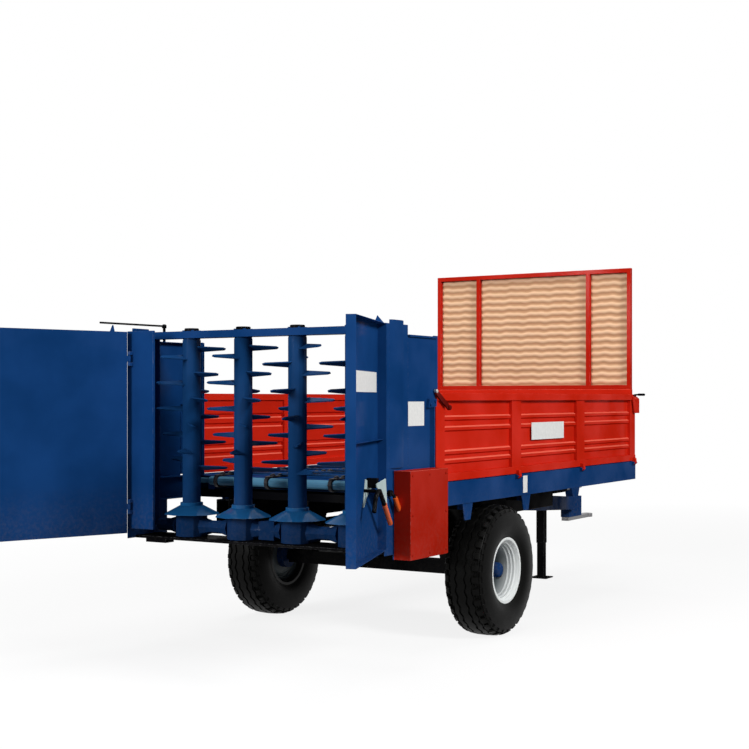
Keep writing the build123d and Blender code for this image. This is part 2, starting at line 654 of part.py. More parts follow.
def cone():
    """Faceted skirt over the gearbox, with a collar that the rotor tube stands on."""
    lean = degrees(atan2((CONE_R - COLLAR_R - CONE_LEDGE) * cos(pi / CONE_SIDES), CONE_TOP - CONE_RIM))
    solid = extrude(RegularPolygon(CONE_R, CONE_SIDES), amount=CONE_TOP - CONE_RIM, taper=lean)
    skirt = Pos(0, 0, CONE_RIM) * solid - Pos(0, 0, CONE_RIM - CONE_WALL) * solid
    collar_low = BOX_TOP + BOSS_HIGH + 2 * RUN
    return skirt + frustum(COLLAR_R, TUBE_SIDES, (0, 0, collar_low), (0, 0, COLLAR_TOP - collar_low), 0)


for i, y in enumerate(rotor_y):
    save(f"rotor_{i + 1}", Pos(ROTOR_X, y, 0) * rotor(1 if i < 2 else -1))
    save(f"rotor_cone_{i + 1}", Pos(ROTOR_X, y, 0) * cone())

# chain case on the right side, on a plate against the post
cover = block(COVER_REAR, COVER_FRONT, -cover_out, -cover_in, COVER_LOW, COVER_TOP)
cover -= block(COVER_REAR + SHEET, COVER_FRONT - SHEET, SHEET - cover_out, -cover_in,
               COVER_LOW + SHEET, COVER_TOP - SHEET)
save("gear_cover", cover)
save("cover_plate", block(COVER_REAR, COVER_FRONT, -cover_in, -BODY_HALF, COVER_LOW, COVER_TOP) - drive_hole)

# ---------------------------------------------------------------- doors


def door():
    """Left door drawn shut: a flanged pan, open to the rear, with a mid rib and a stay lug on top."""
    x1 = HINGE_X + DOOR_SHEET / 2
    x0 = x1 - DOOR_LIP
    y1 = HINGE_Y - DOOR_EDGE
    y0 = DOOR_GAP
    pan = block(x0, x1, y0, y1, DOOR_LOW, DOOR_TOP)
    inside = (y0 + DOOR_SHEET, y1 - DOOR_SHEET)
    pan -= block(x0, x1 - DOOR_SHEET, *inside, DOOR_LOW + DOOR_SHEET, DOOR_TOP - DOOR_SHEET)
    pan += block(x0 + DOOR_LIP / 4, x1 - DOOR_SHEET, *inside, DOOR_RIB_Z - DOOR_SHEET, DOOR_RIB_Z)
    lug_y = HINGE_Y - LUG_ALONG
    lug = outline([(x0, DOOR_TOP), (x1, DOOR_TOP), (x1 - DOOR_LIP / 3, DOOR_TOP + LUG_HIGH)])
    pan += along_y(lug, lug_y - LUG_THICK, lug_y)
    eye_half = HINGE_LONG / 2 - ear_high - EAR_PLAY
    for z in HINGE_Z:
        pan += block(HINGE_X - HINGE_R / 2, x1, y1 - DOOR_SHEET, HINGE_Y, z - eye_half, z + eye_half)
        pan += along_z(Pos(HINGE_X, HINGE_Y) * RegularPolygon(HINGE_R, 8), z - eye_half, z + eye_half)
        pan -= upright(HINGE_PIN + RUN, HINGE_X, HINGE_Y, z - eye_half, z + eye_half)
    return pan


for side in SIDES:
    opened = Pos(HINGE_X, HINGE_Y, 0) * Rot(0, 0, -DOOR_OPEN) * Pos(-HINGE_X, -HINGE_Y, 0) * door()
    save(f"door_{side}", mirrored(opened, side))

# stay over the left door, on a stud from the cheek's top
rear_end = (STAY_REAR[0], BODY_HALF + STAY_REAR[1], STAY_Z)
stud = (STAY_STUD[0], BODY_HALF + STAY_STUD[1])
stay = round_bar(rear_end, (*stud, STAY_Z), STAY_R) + upright(STUD_R, *stud, CHEEK_TOP, STAY_Z + 2 * STAY_R)
save("door_stay", stay)

# ---------------------------------------------------------------- drop sides
board_in = BODY_HALF - BOARD_THICK


def side_board():
    """Ribbed sheet between a top and a bottom rail, with stiles and a hinge knuckle at each."""
    skin = BODY_HALF - SKIN_IN
    points = [(skin, BOARD_LOW)]
    for z in RIB_Z:
        points += [(skin, z - RIB_HIGH / 2), (skin + RIB_OUT, z - RIB_HIGH / 4),
                   (skin + RIB_OUT, z + RIB_HIGH / 4), (skin, z + RIB_HIGH / 2)]
    points += [(skin, BOARD_TOP - BOARD_RAIL)]
    back = [(y - SKIN_THICK, z) for y, z in reversed(points)]
    board = along_x(outline(points + back), BOARD_REAR, BODY_FRONT)
    board += block(BOARD_REAR, BODY_FRONT, board_in, BODY_HALF + TOP_PROUD, BOARD_TOP - BOARD_RAIL, BOARD_TOP)
    board += block(BOARD_REAR, BODY_FRONT, board_in, BODY_HALF, BOARD_LOW, BOARD_LOW + BOARD_RAIL)
    half = EAR_GAP / 2 - EAR_PLAY
    seat = BODY_HALF - STILE_IN
    knuckle = outline([(seat, BOARD_LOW), (pivot_y - KNUCKLE_R, BOARD_LOW - KNUCKLE_R / 2),
                       (pivot_y - KNUCKLE_R, pivot_z), (pivot_y, pivot_z - KNUCKLE_R),
                       (pivot_y + KNUCKLE_R, pivot_z), (pivot_y + KNUCKLE_R / 2, BOARD_LOW + BOARD_RAIL / 2),
                       (seat, BOARD_LOW + BOARD_RAIL / 2)])
    knuckle -= Pos(pivot_y, pivot_z) * Circle(PIN_R + RUN)
    for x, wide in zip(STILE_X, STILE_WIDE):
        board += block(x - wide / 2, x + wide / 2, board_in, seat, BOARD_LOW, BOARD_TOP)
        board += along_x(knuckle, x - half, x + half)
    return board


for side in SIDES:
    save(f"side_board_{side}", mirrored(side_board(), side))

# ---------------------------------------------------------------- headboard and guard
head_x1 = HEAD_X + HEAD_THICK
head_mid = HEAD_X + HEAD_THICK / 2
head = block(head_mid, head_mid + HEAD_SHEET, -HEAD_HALF, HEAD_HALF, RAIL_TOP, HEAD_TOP)
for z0 in (RAIL_TOP, HEAD_TOP - HEAD_FRAME):
    head += block(HEAD_X, head_x1, -HEAD_HALF, HEAD_HALF, z0, z0 + HEAD_FRAME)
for y in (-HEAD_HALF, *(y - HEAD_FRAME / 2 for y in GUARD_Y), HEAD_HALF - HEAD_FRAME):
    head += block(HEAD_X, head_x1, y, y + HEAD_FRAME, RAIL_TOP, HEAD_TOP)
save("headboard", head)
save("front_sill", block(BODY_FRONT, head_x1 + SILL_AHEAD, -HEAD_HALF, HEAD_HALF, rail_low, RAIL_TOP))

half_tube = GUARD_TUBE / 2
guard_x = HEAD_X + HEAD_THICK / 2
guard = joined(block(guard_x - half_tube, guard_x + half_tube, y - half_tube, y + half_tube, HEAD_TOP, GUARD_TOP)
               for y in (half_tube - HEAD_HALF, *GUARD_Y, HEAD_HALF - half_tube))
for z in (HEAD_TOP, GUARD_TOP - GUARD_TUBE):
    guard += block(guard_x - half_tube, guard_x + half_tube, -HEAD_HALF, HEAD_HALF, z, z + GUARD_TUBE)
save("guard_frame", guard)
mesh_x = guard_x + half_tube
mesh = block(mesh_x, mesh_x + MESH_THICK, MESH_EDGE - HEAD_HALF, HEAD_HALF - MESH_EDGE,
             HEAD_TOP + MESH_EDGE, GUARD_TOP - MESH_EDGE)
save("guard_mesh", mesh)

# ---------------------------------------------------------------- jack
save("jack_tube", Pos(JACK_X, 0, JACK_LOW) * extrude(square_tube(JACK_SIDE, JACK_WALL), JACK_TOP - JACK_LOW))
leg_side = JACK_SIDE - 2 * JACK_WALL - 2 * RUN
leg = Pos(JACK_X, 0, JACK_PLATE) * extrude(square_tube(leg_side, JACK_WALL), JACK_LEG - JACK_PLATE)
leg += Pos(JACK_X, 0, 0) * extrude(Rectangle(JACK_FOOT, JACK_FOOT), JACK_PLATE)
save("jack_leg", leg)
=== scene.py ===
"""Towed manure spreader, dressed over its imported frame.

Pieces are drawn in millimetres from the machine's measuring point: x forward from the rear face of the
posts, y to the left, z up from the ground. Datum gives that point's place in the frame.
"""
from __future__ import annotations

import json
import logging
from dataclasses import dataclass
from enum import Enum
from math import cos, pi, radians, sin, tau
from typing import Callable, Iterable, Sequence

import bmesh
import bpy
from mathutils import Matrix, Vector

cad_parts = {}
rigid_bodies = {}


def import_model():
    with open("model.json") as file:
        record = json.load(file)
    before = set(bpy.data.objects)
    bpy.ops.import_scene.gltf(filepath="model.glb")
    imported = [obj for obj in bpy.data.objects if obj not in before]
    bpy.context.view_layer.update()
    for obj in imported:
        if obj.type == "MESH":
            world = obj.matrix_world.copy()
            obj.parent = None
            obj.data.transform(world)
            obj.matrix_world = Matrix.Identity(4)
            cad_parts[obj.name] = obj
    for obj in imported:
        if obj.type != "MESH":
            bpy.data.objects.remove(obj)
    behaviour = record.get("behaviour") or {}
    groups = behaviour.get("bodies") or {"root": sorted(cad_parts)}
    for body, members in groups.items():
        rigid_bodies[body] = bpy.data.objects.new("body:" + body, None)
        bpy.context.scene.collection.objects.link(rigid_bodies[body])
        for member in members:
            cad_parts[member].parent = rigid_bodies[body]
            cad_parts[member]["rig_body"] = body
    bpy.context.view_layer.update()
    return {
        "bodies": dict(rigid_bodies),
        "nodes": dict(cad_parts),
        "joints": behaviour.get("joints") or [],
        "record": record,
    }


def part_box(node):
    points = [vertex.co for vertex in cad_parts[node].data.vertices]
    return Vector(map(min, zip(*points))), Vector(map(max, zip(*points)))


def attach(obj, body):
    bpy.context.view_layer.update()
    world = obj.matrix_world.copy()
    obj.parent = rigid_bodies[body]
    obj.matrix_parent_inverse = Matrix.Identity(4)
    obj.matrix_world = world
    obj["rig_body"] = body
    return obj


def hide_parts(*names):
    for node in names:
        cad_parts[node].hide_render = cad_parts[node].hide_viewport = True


MM = 0.001
HALF_WIDTH = 935.0     # outer face of the rails, posts and cheeks
RAIL_REAR = 258.0      # rear end of the side rails
SOLID_ANGLE = 30.0     # least angle of an edge that is rounded on a CAD node
DRAWN_ANGLE = 35.0     # and on a drawn shape
SMOOTH_ANGLE = 38.0    # edges flatter than this are shaded smooth
LEVEL = 0.97           # a face whose normal rises more than this is level, and takes no painted highlight
LIFT = 0.002           # added to a paler shade
log = logging.getLogger("spreader")
Point = tuple[float, float, float]
Colour = tuple[float, float, float]


class Side(Enum):
    """The two sides of the machine, with the sign of y."""

    LEFT = 1
    RIGHT = -1

    @property
    def label(self) -> str:
        """Ending of the node and body names of this side."""
        return self.name.lower()


def linked(name: str, data: bpy.types.ID) -> bpy.types.Object:
    """Object made of some data, linked to the scene."""
    made = bpy.data.objects.new(name, data)
    bpy.context.scene.collection.objects.link(made)
    return made


# ---- node trees


def math_node(operation: str, flip: bool = False) -> Callable[..., "Sock"]:
    """Method of Sock that adds one Math node.

    Args:
        operation: the Math node's operation.
        flip: whether the operands change places.

    Returns:
        The method, which gives the node's result.
    """
    def method(self: "Sock", other: "Sock | float | None" = None) -> "Sock":
        pair = [self] if other is None else [other, self] if flip else [self, other]
        return self.tree.out("ShaderNodeMath", {"operation": operation}, dict(enumerate(pair)))
    return method


class Sock:
    """A node socket that takes part in plain Python arithmetic."""

    __add__ = __radd__ = math_node("ADD")
    __sub__ = math_node("SUBTRACT")
    __rsub__ = math_node("SUBTRACT", flip=True)
    __mul__ = __rmul__ = math_node("MULTIPLY")
    __truediv__ = math_node("DIVIDE")
    __pow__ = math_node("POWER")
    sine = math_node("SINE")
    absolute = math_node("ABSOLUTE")

    def __init__(self, tree: "Tree", socket: bpy.types.NodeSocket) -> None:
        """Wrap one output socket of a tree."""
        self.tree = tree
        self.socket = socket

    def span(self, low: float, high: float) -> "Sock":
        """Clamped ramp: 0 at low, 1 at high."""
        ends = {"Value": self, "From Min": low, "From Max": high}
        return self.tree.out("ShaderNodeMapRange", {"clamp": True}, ends)


class Tree:
    """A node tree whose nodes all come from one method."""

    def __init__(self, tree: bpy.types.NodeTree) -> None:
        """Wrap a Blender node tree."""
        self.tree = tree

    @classmethod
    def of(cls, owner: bpy.types.Material | bpy.types.World) -> "Tree":
        """Emptied tree of a material or a world."""
        owner.use_nodes = True
        owner.node_tree.nodes.clear()
        return cls(owner.node_tree)

    def node(self, kind: str, settings: dict | None = None, values: dict | None = None) -> bpy.types.Node:
        """Add a node.

        Args:
            kind: the node's type name.
            settings: its properties, set first.
            values: numbers, colours or Socks for its inputs, by name or place.

        Returns:
            The node.
        """
        made = self.tree.nodes.new(kind)
        for key, value in (settings or {}).items():
            setattr(made, key, value)
        for key, value in (values or {}).items():
            target = made.inputs[key]
            if isinstance(value, Sock):
                self.tree.links.new(value.socket, target)
            elif isinstance(value, tuple) and len(value) == 3 and len(getattr(target, "default_value", ())) == 4:
                target.default_value = (*value, 1.0)
            else:
                target.default_value = value
        return made

    def out(self, kind: str, settings: dict | None = None, values: dict | None = None,
            output: int | str = 0) -> Sock:
        """Add a node and give one of its outputs."""
        return Sock(self, self.node(kind, settings, values).outputs[output])

    def blend(self, mask: Sock | float, first: Sock | Colour, second: Sock | Colour) -> Sock:
        """Colour between two, by a mask."""
        return self.out("ShaderNodeMix", {"data_type": "RGBA"}, {0: mask, 6: first, 7: second}, 2)

    def noise(self, place: Sock, scale: float, detail: float = 3.0, rough: float = 0.55) -> Sock:
        """Noise about 0.5 at a place."""
        return self.out("ShaderNodeTexNoise", None,
                        {"Vector": place, "Scale": scale, "Detail": detail, "Roughness": rough}, "Fac")

    def place(self) -> Sock:
        """Object coordinates."""
        return self.out("ShaderNodeTexCoord", output="Object")

    def mark(self, name: str) -> Sock:
        """Value of a mesh attribute."""
        return self.out("ShaderNodeAttribute", {"attribute_name": name}, output="Fac")

    def parts(self, vector: Sock) -> tuple[Sock, ...]:
        """X, Y and Z of a vector."""
        return tuple(Sock(self, part) for part in self.node("ShaderNodeSeparateXYZ", None, {0: vector}).outputs)


class Recipe:
    """A Geometry Nodes tree with named inputs, run once and turned into a plain mesh."""

    def __init__(self, name: str) -> None:
        """Start an empty tree with a geometry input and output."""
        self.group = bpy.data.node_groups.new(name, "GeometryNodeTree")
        self.tree = Tree(self.group)
        for direction in ("INPUT", "OUTPUT"):
            self.group.interface.new_socket("Geometry", in_out=direction, socket_type="NodeSocketGeometry")
        self.entry = self.tree.node("NodeGroupInput")

    @property
    def host(self) -> Sock:
        """The geometry that the recipe starts from."""
        return Sock(self.tree, self.entry.outputs[0])

    def size(self, name: str, value: float) -> Sock:
        """Add a named size as an input of the tree, and give it as a socket."""
        made = self.group.interface.new_socket(name, in_out="INPUT", socket_type="NodeSocketFloat")
        made.default_value = value
        return Sock(self.tree, self.entry.outputs[name])

    def attribute(self, name: str, kind: str = "FLOAT") -> Sock:
        """Read a named attribute of the host mesh."""
        return self.tree.out("GeometryNodeInputNamedAttribute", {"data_type": kind}, {"Name": name})

    def close(self, geometry: Sock, material: bpy.types.Material) -> None:
        """End the tree in real geometry with its material."""
        real = self.tree.out("GeometryNodeRealizeInstances", None, {0: geometry})
        dressed = self.tree.out("GeometryNodeSetMaterial", None, {"Geometry": real, "Material": material})
        self.tree.node("NodeGroupOutput", None, {0: dressed})

    def run(self, name: str, mesh: bpy.types.Mesh) -> bpy.types.Object:
        """Run the tree on a host mesh.

        Args:
            name: name of the new piece.
            mesh: the host mesh.

        Returns:
            An object with the plain result.
        """
        host = linked(name + "_host", mesh)
        modifier = host.modifiers.new("recipe", "NODES")
        modifier.node_group = self.group
        result = bpy.data.meshes.new_from_object(host.evaluated_get(bpy.context.evaluated_depsgraph_get()))
        host.modifiers.remove(modifier)
        bpy.data.objects.remove(host)
        return linked(name, result)


# ---- finishes


@dataclass(frozen=True)
class Finish:
    """Base of all finishes: a Principled surface whose other parts a subclass varies."""

    name: str
    slot: str
    colour: Colour
    roughness: float = 0.4
    metallic: float = 0.0
    level: float = 0.2
    cloud: tuple = (9.0, 5.0, 0.6)     # noise over the surface: scale, detail, roughness
    cloudy: float = 0.1                # what it adds to the roughness
    grain: tuple = (120.0, 4.0)        # noise of the normal
    relief: tuple = (0.0003, 0.4)      # and its depth and strength

    def build(self) -> bpy.types.Material:
        """Make the material."""
        material = bpy.data.materials.new(self.name)
        tree = Tree.of(material)
        place = tree.place()
        cloud = tree.noise(place, *self.cloud)
        rough = self.roughness + self.cloudy * cloud
        depth, strength = self.relief
        bump = {"Height": tree.noise(place, *self.grain), "Distance": depth, "Strength": strength}
        values = {"Roughness": rough, "Metallic": self.metallic, "Specular IOR Level": self.level,
                  "Normal": tree.out("ShaderNodeBump", None, bump)}
        values.update(self.surface(tree, place, cloud, rough))
        shader = tree.out("ShaderNodeBsdfPrincipled", None, values)
        tree.node("ShaderNodeOutputMaterial", None, {"Surface": shader})
        material.diffuse_color = (*self.colour, 1.0)
        return material

    def surface(self, tree: Tree, place: Sock, cloud: Sock, rough: Sock) -> dict:
        """Inputs of the Principled shader that vary.

        Args:
            tree: the material's tree.
            place: object coordinates.
            cloud: the noise over the surface.
            rough: the roughness that it gives.

        Returns:
            The inputs by name.
        """
        return {"Base Color": self.colour}

    def shade(self, factor: float, lift: float = 0.0) -> Colour:
        """The colour made darker or paler."""
        return tuple(min(1.0, c * factor + lift) for c in self.colour)


@dataclass(frozen=True)
class Paint(Finish):
    """Sprayed gloss paint with slow drift, orange peel, dust low down and rubbed edges; where set, painted shade near
    the middle of the machine and a painted highlight on upward slopes.
    """

    level: float = 0.0
    cloud: tuple = (46.0, 5.0, 0.65)
    cloudy: float = 0.16
    grain: tuple = (420.0, 2.0)
    relief: tuple = (0.0003, 0.35)
    slow: tuple = (2.2, 4.0)           # noise of the drift
    drift: float = 0.16
    drift_span: tuple = (0.34, 0.66)
    coat: float = 0.08
    coat_span: tuple = (0.42, 0.62)
    coat_rough: float = 0.12
    dust: float = 0.35
    dust_span: tuple = (0.42, 0.78)
    dust_fade: float = 0.5
    dust_top: float = 0.55
    dust_rough: float = 0.25
    dust_colour: Colour = (0.16, 0.13, 0.10)
    wear: float = 0.15
    wear_span: tuple = (0.48, 0.6)
    rubbed: Colour = (0.30, 0.31, 0.33)
    inner: float = 0.0                 # painted shade: black nearer the middle than this, where it is set
    inner_edge: float = 0.01
    underside: Colour = (0.0035, 0.0035, 0.0045)
    # Painted highlight: a paler colour on faces that slope upwards, where light from above falls.
    bleach: float = 0.0
    bleach_span: tuple = (0.3, 0.6)
    bleached: Colour = (0.95, 0.20, 0.13)

    def surface(self, tree: Tree, place: Sock, cloud: Sock, rough: Sock) -> dict:
        """Colour, roughness and coat over the surface."""
        _, across, height = tree.parts(place)
        slow = tree.noise(place, *self.slow)
        dark, pale = self.shade(1.0 - self.drift), self.shade(1.0 + self.drift, LIFT)
        paint = tree.blend(slow.span(*self.drift_span), dark, pale)
        low = 1.0 - height.span(self.dust_top - self.dust_fade, self.dust_top)
        dusty = low * cloud.span(*self.dust_span) * self.dust
        paint = tree.blend(dusty, paint, self.dust_colour)
        paint = tree.blend(tree.mark("edge_wear") * cloud.span(*self.wear_span) * self.wear, paint, self.rubbed)
        # Painted shade: the colour turns black nearer the middle of the machine, where the underside lies in shade.
        if self.inner:
            paint = tree.blend(across.absolute().span(self.inner - self.inner_edge, self.inner), self.underside, paint)
        # Painted highlight on faces that slope upwards, by the slope_up value of each face.
        if self.bleach:
            up = tree.mark("slope_up").span(*self.bleach_span)
            paint = tree.blend(up * self.bleach, paint, self.bleached)
        coat = self.coat * slow.span(*self.coat_span) * (1.0 - dusty)
        return {"Base Color": paint, "Roughness": rough + self.dust_rough * dusty, "Coat Weight": coat,
                "Coat Roughness": self.coat_rough}


@dataclass(frozen=True)
class Rubber(Finish):
    """Tyre rubber, greyer where it is rubbed, with a fine moulded grain."""

    cloud: tuple = (14.0, 5.0, 0.6)
    cloudy: float = 0.2
    grain: tuple = (700.0, 2.0)
    relief: tuple = (0.0004, 0.5)
    middle: float = 0.854
    shoulder: tuple = (0.118, 0.134)
    rubbed: tuple = (0.38, 0.8)
    pale: float = 1.5
    wall: float = 0.3

    def surface(self, tree: Tree, place: Sock, cloud: Sock, rough: Sock) -> dict:
        """Grey tread and black walls, by the distance from the tyre's middle."""
        beside = (tree.parts(place)[1].absolute() - self.middle).absolute().span(*self.shoulder)
        tread = tree.blend(cloud.span(*self.rubbed), self.colour, self.shade(self.pale, LIFT))
        return {"Base Color": tree.blend(beside, tread, self.shade(self.wall))}


@dataclass(frozen=True)
class Metal(Finish):
    """Bare or silver metal with a fine mottle, and rust where rust is above 0."""

    cloud: tuple = (120.0, 4.0, 0.7)
    cloudy: float = 0.14
    grain: tuple = (120.0, 4.0, 0.7)
    patches: tuple = (9.0, 5.0, 0.6)
    patch_span: tuple = (0.35, 0.7)
    dark: float = 0.8
    rust: float = 0.0
    rust_spans: tuple = ((0.5, 0.72), (0.4, 0.62))   # of the fine noise and of the patches
    rust_rough: float = 0.3
    rust_colour: Colour = (0.12, 0.045, 0.018)

    def surface(self, tree: Tree, place: Sock, cloud: Sock, rough: Sock) -> dict:
        """Colour, roughness and metallic over the surface."""
        patch = tree.noise(place, *self.patches)
        fine, wide = self.rust_spans
        rusty = cloud.span(*fine) * patch.span(*wide) * self.rust
        bare = tree.blend(patch.span(*self.patch_span), self.shade(self.dark), self.colour)
        return {"Base Color": tree.blend(rusty, bare, self.rust_colour), "Roughness": rough + self.rust_rough * rusty,
                "Metallic": self.metallic * (1.0 - rusty)}


@dataclass(frozen=True)
class Sprayed(Finish):
    """Silver sprayed wheel rim: silver at its lip, with painted shade grey on the disc and near black on the inner
    side.
    """

    cloudy: float = 0.14
    # Painted shade: grey on the disc and deep in the well, near black on the inner side of the rim.
    grey: Colour = (0.12, 0.145, 0.155)
    grime: Colour = (0.012, 0.012, 0.012)
    lip: tuple = (0.83, 0.95)
    inside: tuple = (0.772, 0.786)

    def surface(self, tree: Tree, place: Sock, cloud: Sock, rough: Sock) -> dict:
        """Colour by the distance from the middle of the machine."""
        out = tree.parts(place)[1].absolute()
        # Painted shade deepens from the lip into the well and the disc, and turns near black on the inner side.
        shaded_disc = tree.blend(out.span(*self.lip), self.grey, self.colour)
        return {"Base Color": tree.blend(out.span(*self.inside), self.grime, shaded_disc)}


@dataclass(frozen=True)
class Moulded(Finish):
    """Moulded plastic or enamelled sheet with a slight mottle."""

    cloud: tuple = (60.0, 3.0)
    grain: tuple = (500.0, 2.0)
    relief: tuple = (0.0002, 0.3)
    mottle: tuple = (0.3, 0.7)
    dark: float = 0.9

    def surface(self, tree: Tree, place: Sock, cloud: Sock, rough: Sock) -> dict:
        """Colour over the surface."""
        return {"Base Color": tree.blend(cloud.span(*self.mottle), self.shade(self.dark), self.colour)}


@dataclass(frozen=True)
class Wove(Finish):
    """Rippled guard mesh with painted light and shade: pale on the crest of each row, tan in the hollow."""

    cloud: tuple = (5.0, 3.0)
    grain: tuple = (260.0, 2.0)
    relief: tuple = (0.0006, 0.4)
    # Painted shade in the hollow of each row; the finish's own colour is the painted light on the crest.
    hollow: Colour = (0.50, 0.27, 0.14)
    row: tuple = (0.15, 0.85)

    def surface(self, tree: Tree, place: Sock, cloud: Sock, rough: Sock) -> dict:
        """Colour by row, blurred by the cloud: painted light on the crest, painted shade in the hollow."""
        row = (tree.mark("crest") + 0.5 * cloud - 0.25).span(*self.row)
        return {"Base Color": tree.blend(row, self.hollow, self.colour)}


class Look(Enum):
    """The finishes of the machine."""

    BLUE = Paint("blue_paint", "blue", (0.0055, 0.044, 0.165), 0.26)
    # Cross members: blue with painted shade, black towards the middle.
    MEMBER_BLUE = Paint("member_blue_paint", "blue", (0.0055, 0.044, 0.165), 0.26, inner=0.88)
    # Cone paint: paler than the other blues, a painted highlight for the light on the cones' sloping faces.
    CONE_BLUE = Paint("cone_blue_paint", "blue", (0.009, 0.085, 0.23), 0.26, coat=0.3, dust=0.0)
    # Gearbox paint: darker than the other blues, painted shade for the gearboxes low under the rotors.
    GEAR_BLUE = Paint("gear_blue_paint", "blue", (0.004, 0.026, 0.090), 0.30, dust=0.15)
    ROTOR_BLUE = Paint("rotor_blue_paint", "blue", (0.006, 0.040, 0.130), 0.30, dust=0.15)
    # On the red paint the pale pink of the rubbed edges is a painted highlight along the rounded edges, spotted like
    # wear.
    RED = Paint("red_paint", "red", (0.60, 0.018, 0.006), 0.27, drift=0.10, dust=0.2, rubbed=(0.72, 0.16, 0.08),
                bleach=0.75)
    GUARD_RED = Paint("guard_red_paint", "red", (0.47, 0.014, 0.005), 0.27, drift=0.10, dust=0.2)
    DARK_RED = Paint("dark_red_paint", "red", (0.13, 0.006, 0.004), 0.30, drift=0.12, dust=0.2)
    CASE_RED = Paint("case_red_paint", "red", (0.40, 0.014, 0.005), 0.28, drift=0.12, dust=0.2, bleach=0.6)
    MESH = Wove("guard_mesh_paint", "mesh", (0.80, 0.52, 0.32), 0.5)
    BLACK = Paint("black_paint", "black", (0.0035, 0.0035, 0.0045), 0.38, coat=0.05, dust=0.06)
    WORN_BLUE = Paint("worn_blue_paint", "blue", (0.075, 0.21, 0.33), 0.30, dust=0.0)
    SLAT_BLUE = Paint("slat_blue_paint", "blue", (0.012, 0.045, 0.12), 0.30, dust=0.0)
    LATCH = Paint("latch_grey", "steel", (0.46, 0.57, 0.57), 0.32, dust=0.0)
    RUBBER = Rubber("tyre_rubber", "tyre", (0.0026, 0.0026, 0.0024), 0.34, level=0.05)
    RIM = Sprayed("rim_silver", "rim", (0.86, 0.89, 0.88), 0.36, 0.0, 0.12)
    HUB = Paint("hub_blue_paint", "hub", (0.0055, 0.040, 0.150), 0.28)
    STEEL = Metal("worn_steel", "steel", (0.22, 0.22, 0.23), 0.36, 0.85, 0.5, rust=0.7)
    CHAIN = Metal("oiled_chain", "steel", (0.035, 0.036, 0.04), 0.42, 0.2, 0.1, rust=0.4)
    ZINC = Metal("zinc_plate", "steel", (0.55, 0.55, 0.53), 0.36, 0.75, 0.5)
    PLATE = Moulded("blank_plate", "blue", (0.84, 0.84, 0.82), 0.35)
    GRIP = Moulded("orange_grip", "red", (0.80, 0.11, 0.012), 0.38)


class Finishes:
    """Makes each material once."""

    def __init__(self) -> None:
        """Start with none made."""
        self.made: dict[Look, bpy.types.Material] = {}

    def get(self, look: Look) -> bpy.types.Material:
        """The material of a look."""
        if look not in self.made:
            self.made[look] = look.value.build()
        return self.made[look]


# ---- shapes


@dataclass(frozen=True)
class Datum:
    """The machine's measuring point in the frame: rear face of the posts, centre line, ground."""

    x: float
    z: float

    @classmethod
    def read(cls) -> "Datum":
        """Find the point from the rails and the tyres."""
        rail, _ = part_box("side_rail_left")
        tyre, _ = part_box("tyre_left")
        return cls(rail.x - RAIL_REAR * MM, tyre.z)

    def matrix(self) -> Matrix:
        """From millimetres at the measuring point to the frame."""
        return Matrix.Translation((self.x, 0.0, self.z)) @ Matrix.Scale(MM, 4)


def round_edges(bm: bmesh.types.BMesh, width: float, angle: float, segments: int = 2) -> None:
    """Bevel the convex edges sharper than an angle, and mark the new strips as edge_wear.

    Args:
        bm: the mesh.
        width: bevel width in the mesh's unit.
        angle: least angle between the faces, in degrees.
        segments: strips across each bevel.
    """
    wear = bm.faces.layers.float.get("edge_wear") or bm.faces.layers.float.new("edge_wear")
    limit = radians(angle)
    sharp = [e for e in bm.edges if len(e.link_faces) == 2 and e.is_convex and e.calc_face_angle(0.0) > limit]
    if sharp and width > 0:
        made = bmesh.ops.bevel(bm, geom=sharp, offset=width, offset_type="OFFSET", segments=segments,
                               profile=0.5, affect="EDGES", clamp_overlap=True, loop_slide=True)
        for face in made["faces"]:
            face[wear] = 1.0


def settle(bm: bmesh.types.BMesh, name: str, material: bpy.types.Material) -> bpy.types.Object:
    """Turn a finished bmesh into an object, smooth over round faces and crisp beside rounded edges.

    Args:
        bm: the mesh, in the frame's metres; it is freed.
        name: name of the piece.
        material: its material.

    Returns:
        The object, in the scene.
    """
    wear = bm.faces.layers.float.get("edge_wear")
    sky = bm.faces.layers.float.new("slope_up")
    bm.normal_update()
    for face in bm.faces:
        face.smooth = True
        # slope_up keeps how far a sloping face points up: the mask of the paint's painted highlight.
        face[sky] = face.normal.z if face.normal.z < LEVEL else 0.0
    for edge in bm.edges:
        faces = edge.link_faces
        edge.smooth = len(faces) == 2 and edge.calc_face_angle(0.0) < radians(SMOOTH_ANGLE)
        if wear and edge.smooth and faces[0][wear] != faces[1][wear]:
            edge.smooth = False
    mesh = bpy.data.meshes.new(name)
    bm.to_mesh(mesh)
    bm.free()
    mesh.materials.append(material)
    return linked(name, mesh)


def around(centre: Point, radius: float, offset: float, angle: float, axis: str = "Y") -> Point:
    """Point beside an axis through a centre.

    Args:
        centre: where the axis starts.
        radius: distance from the axis.
        offset: distance along the axis.
        angle: turn about the axis, in radians.
        axis: Y or Z.

    Returns:
        The point.
    """
    x, y, z = centre
    c, s = radius * cos(angle), radius * sin(angle)
    return (x + c, y + offset, z + s) if axis == "Y" else (x + c, y + s, z + offset)


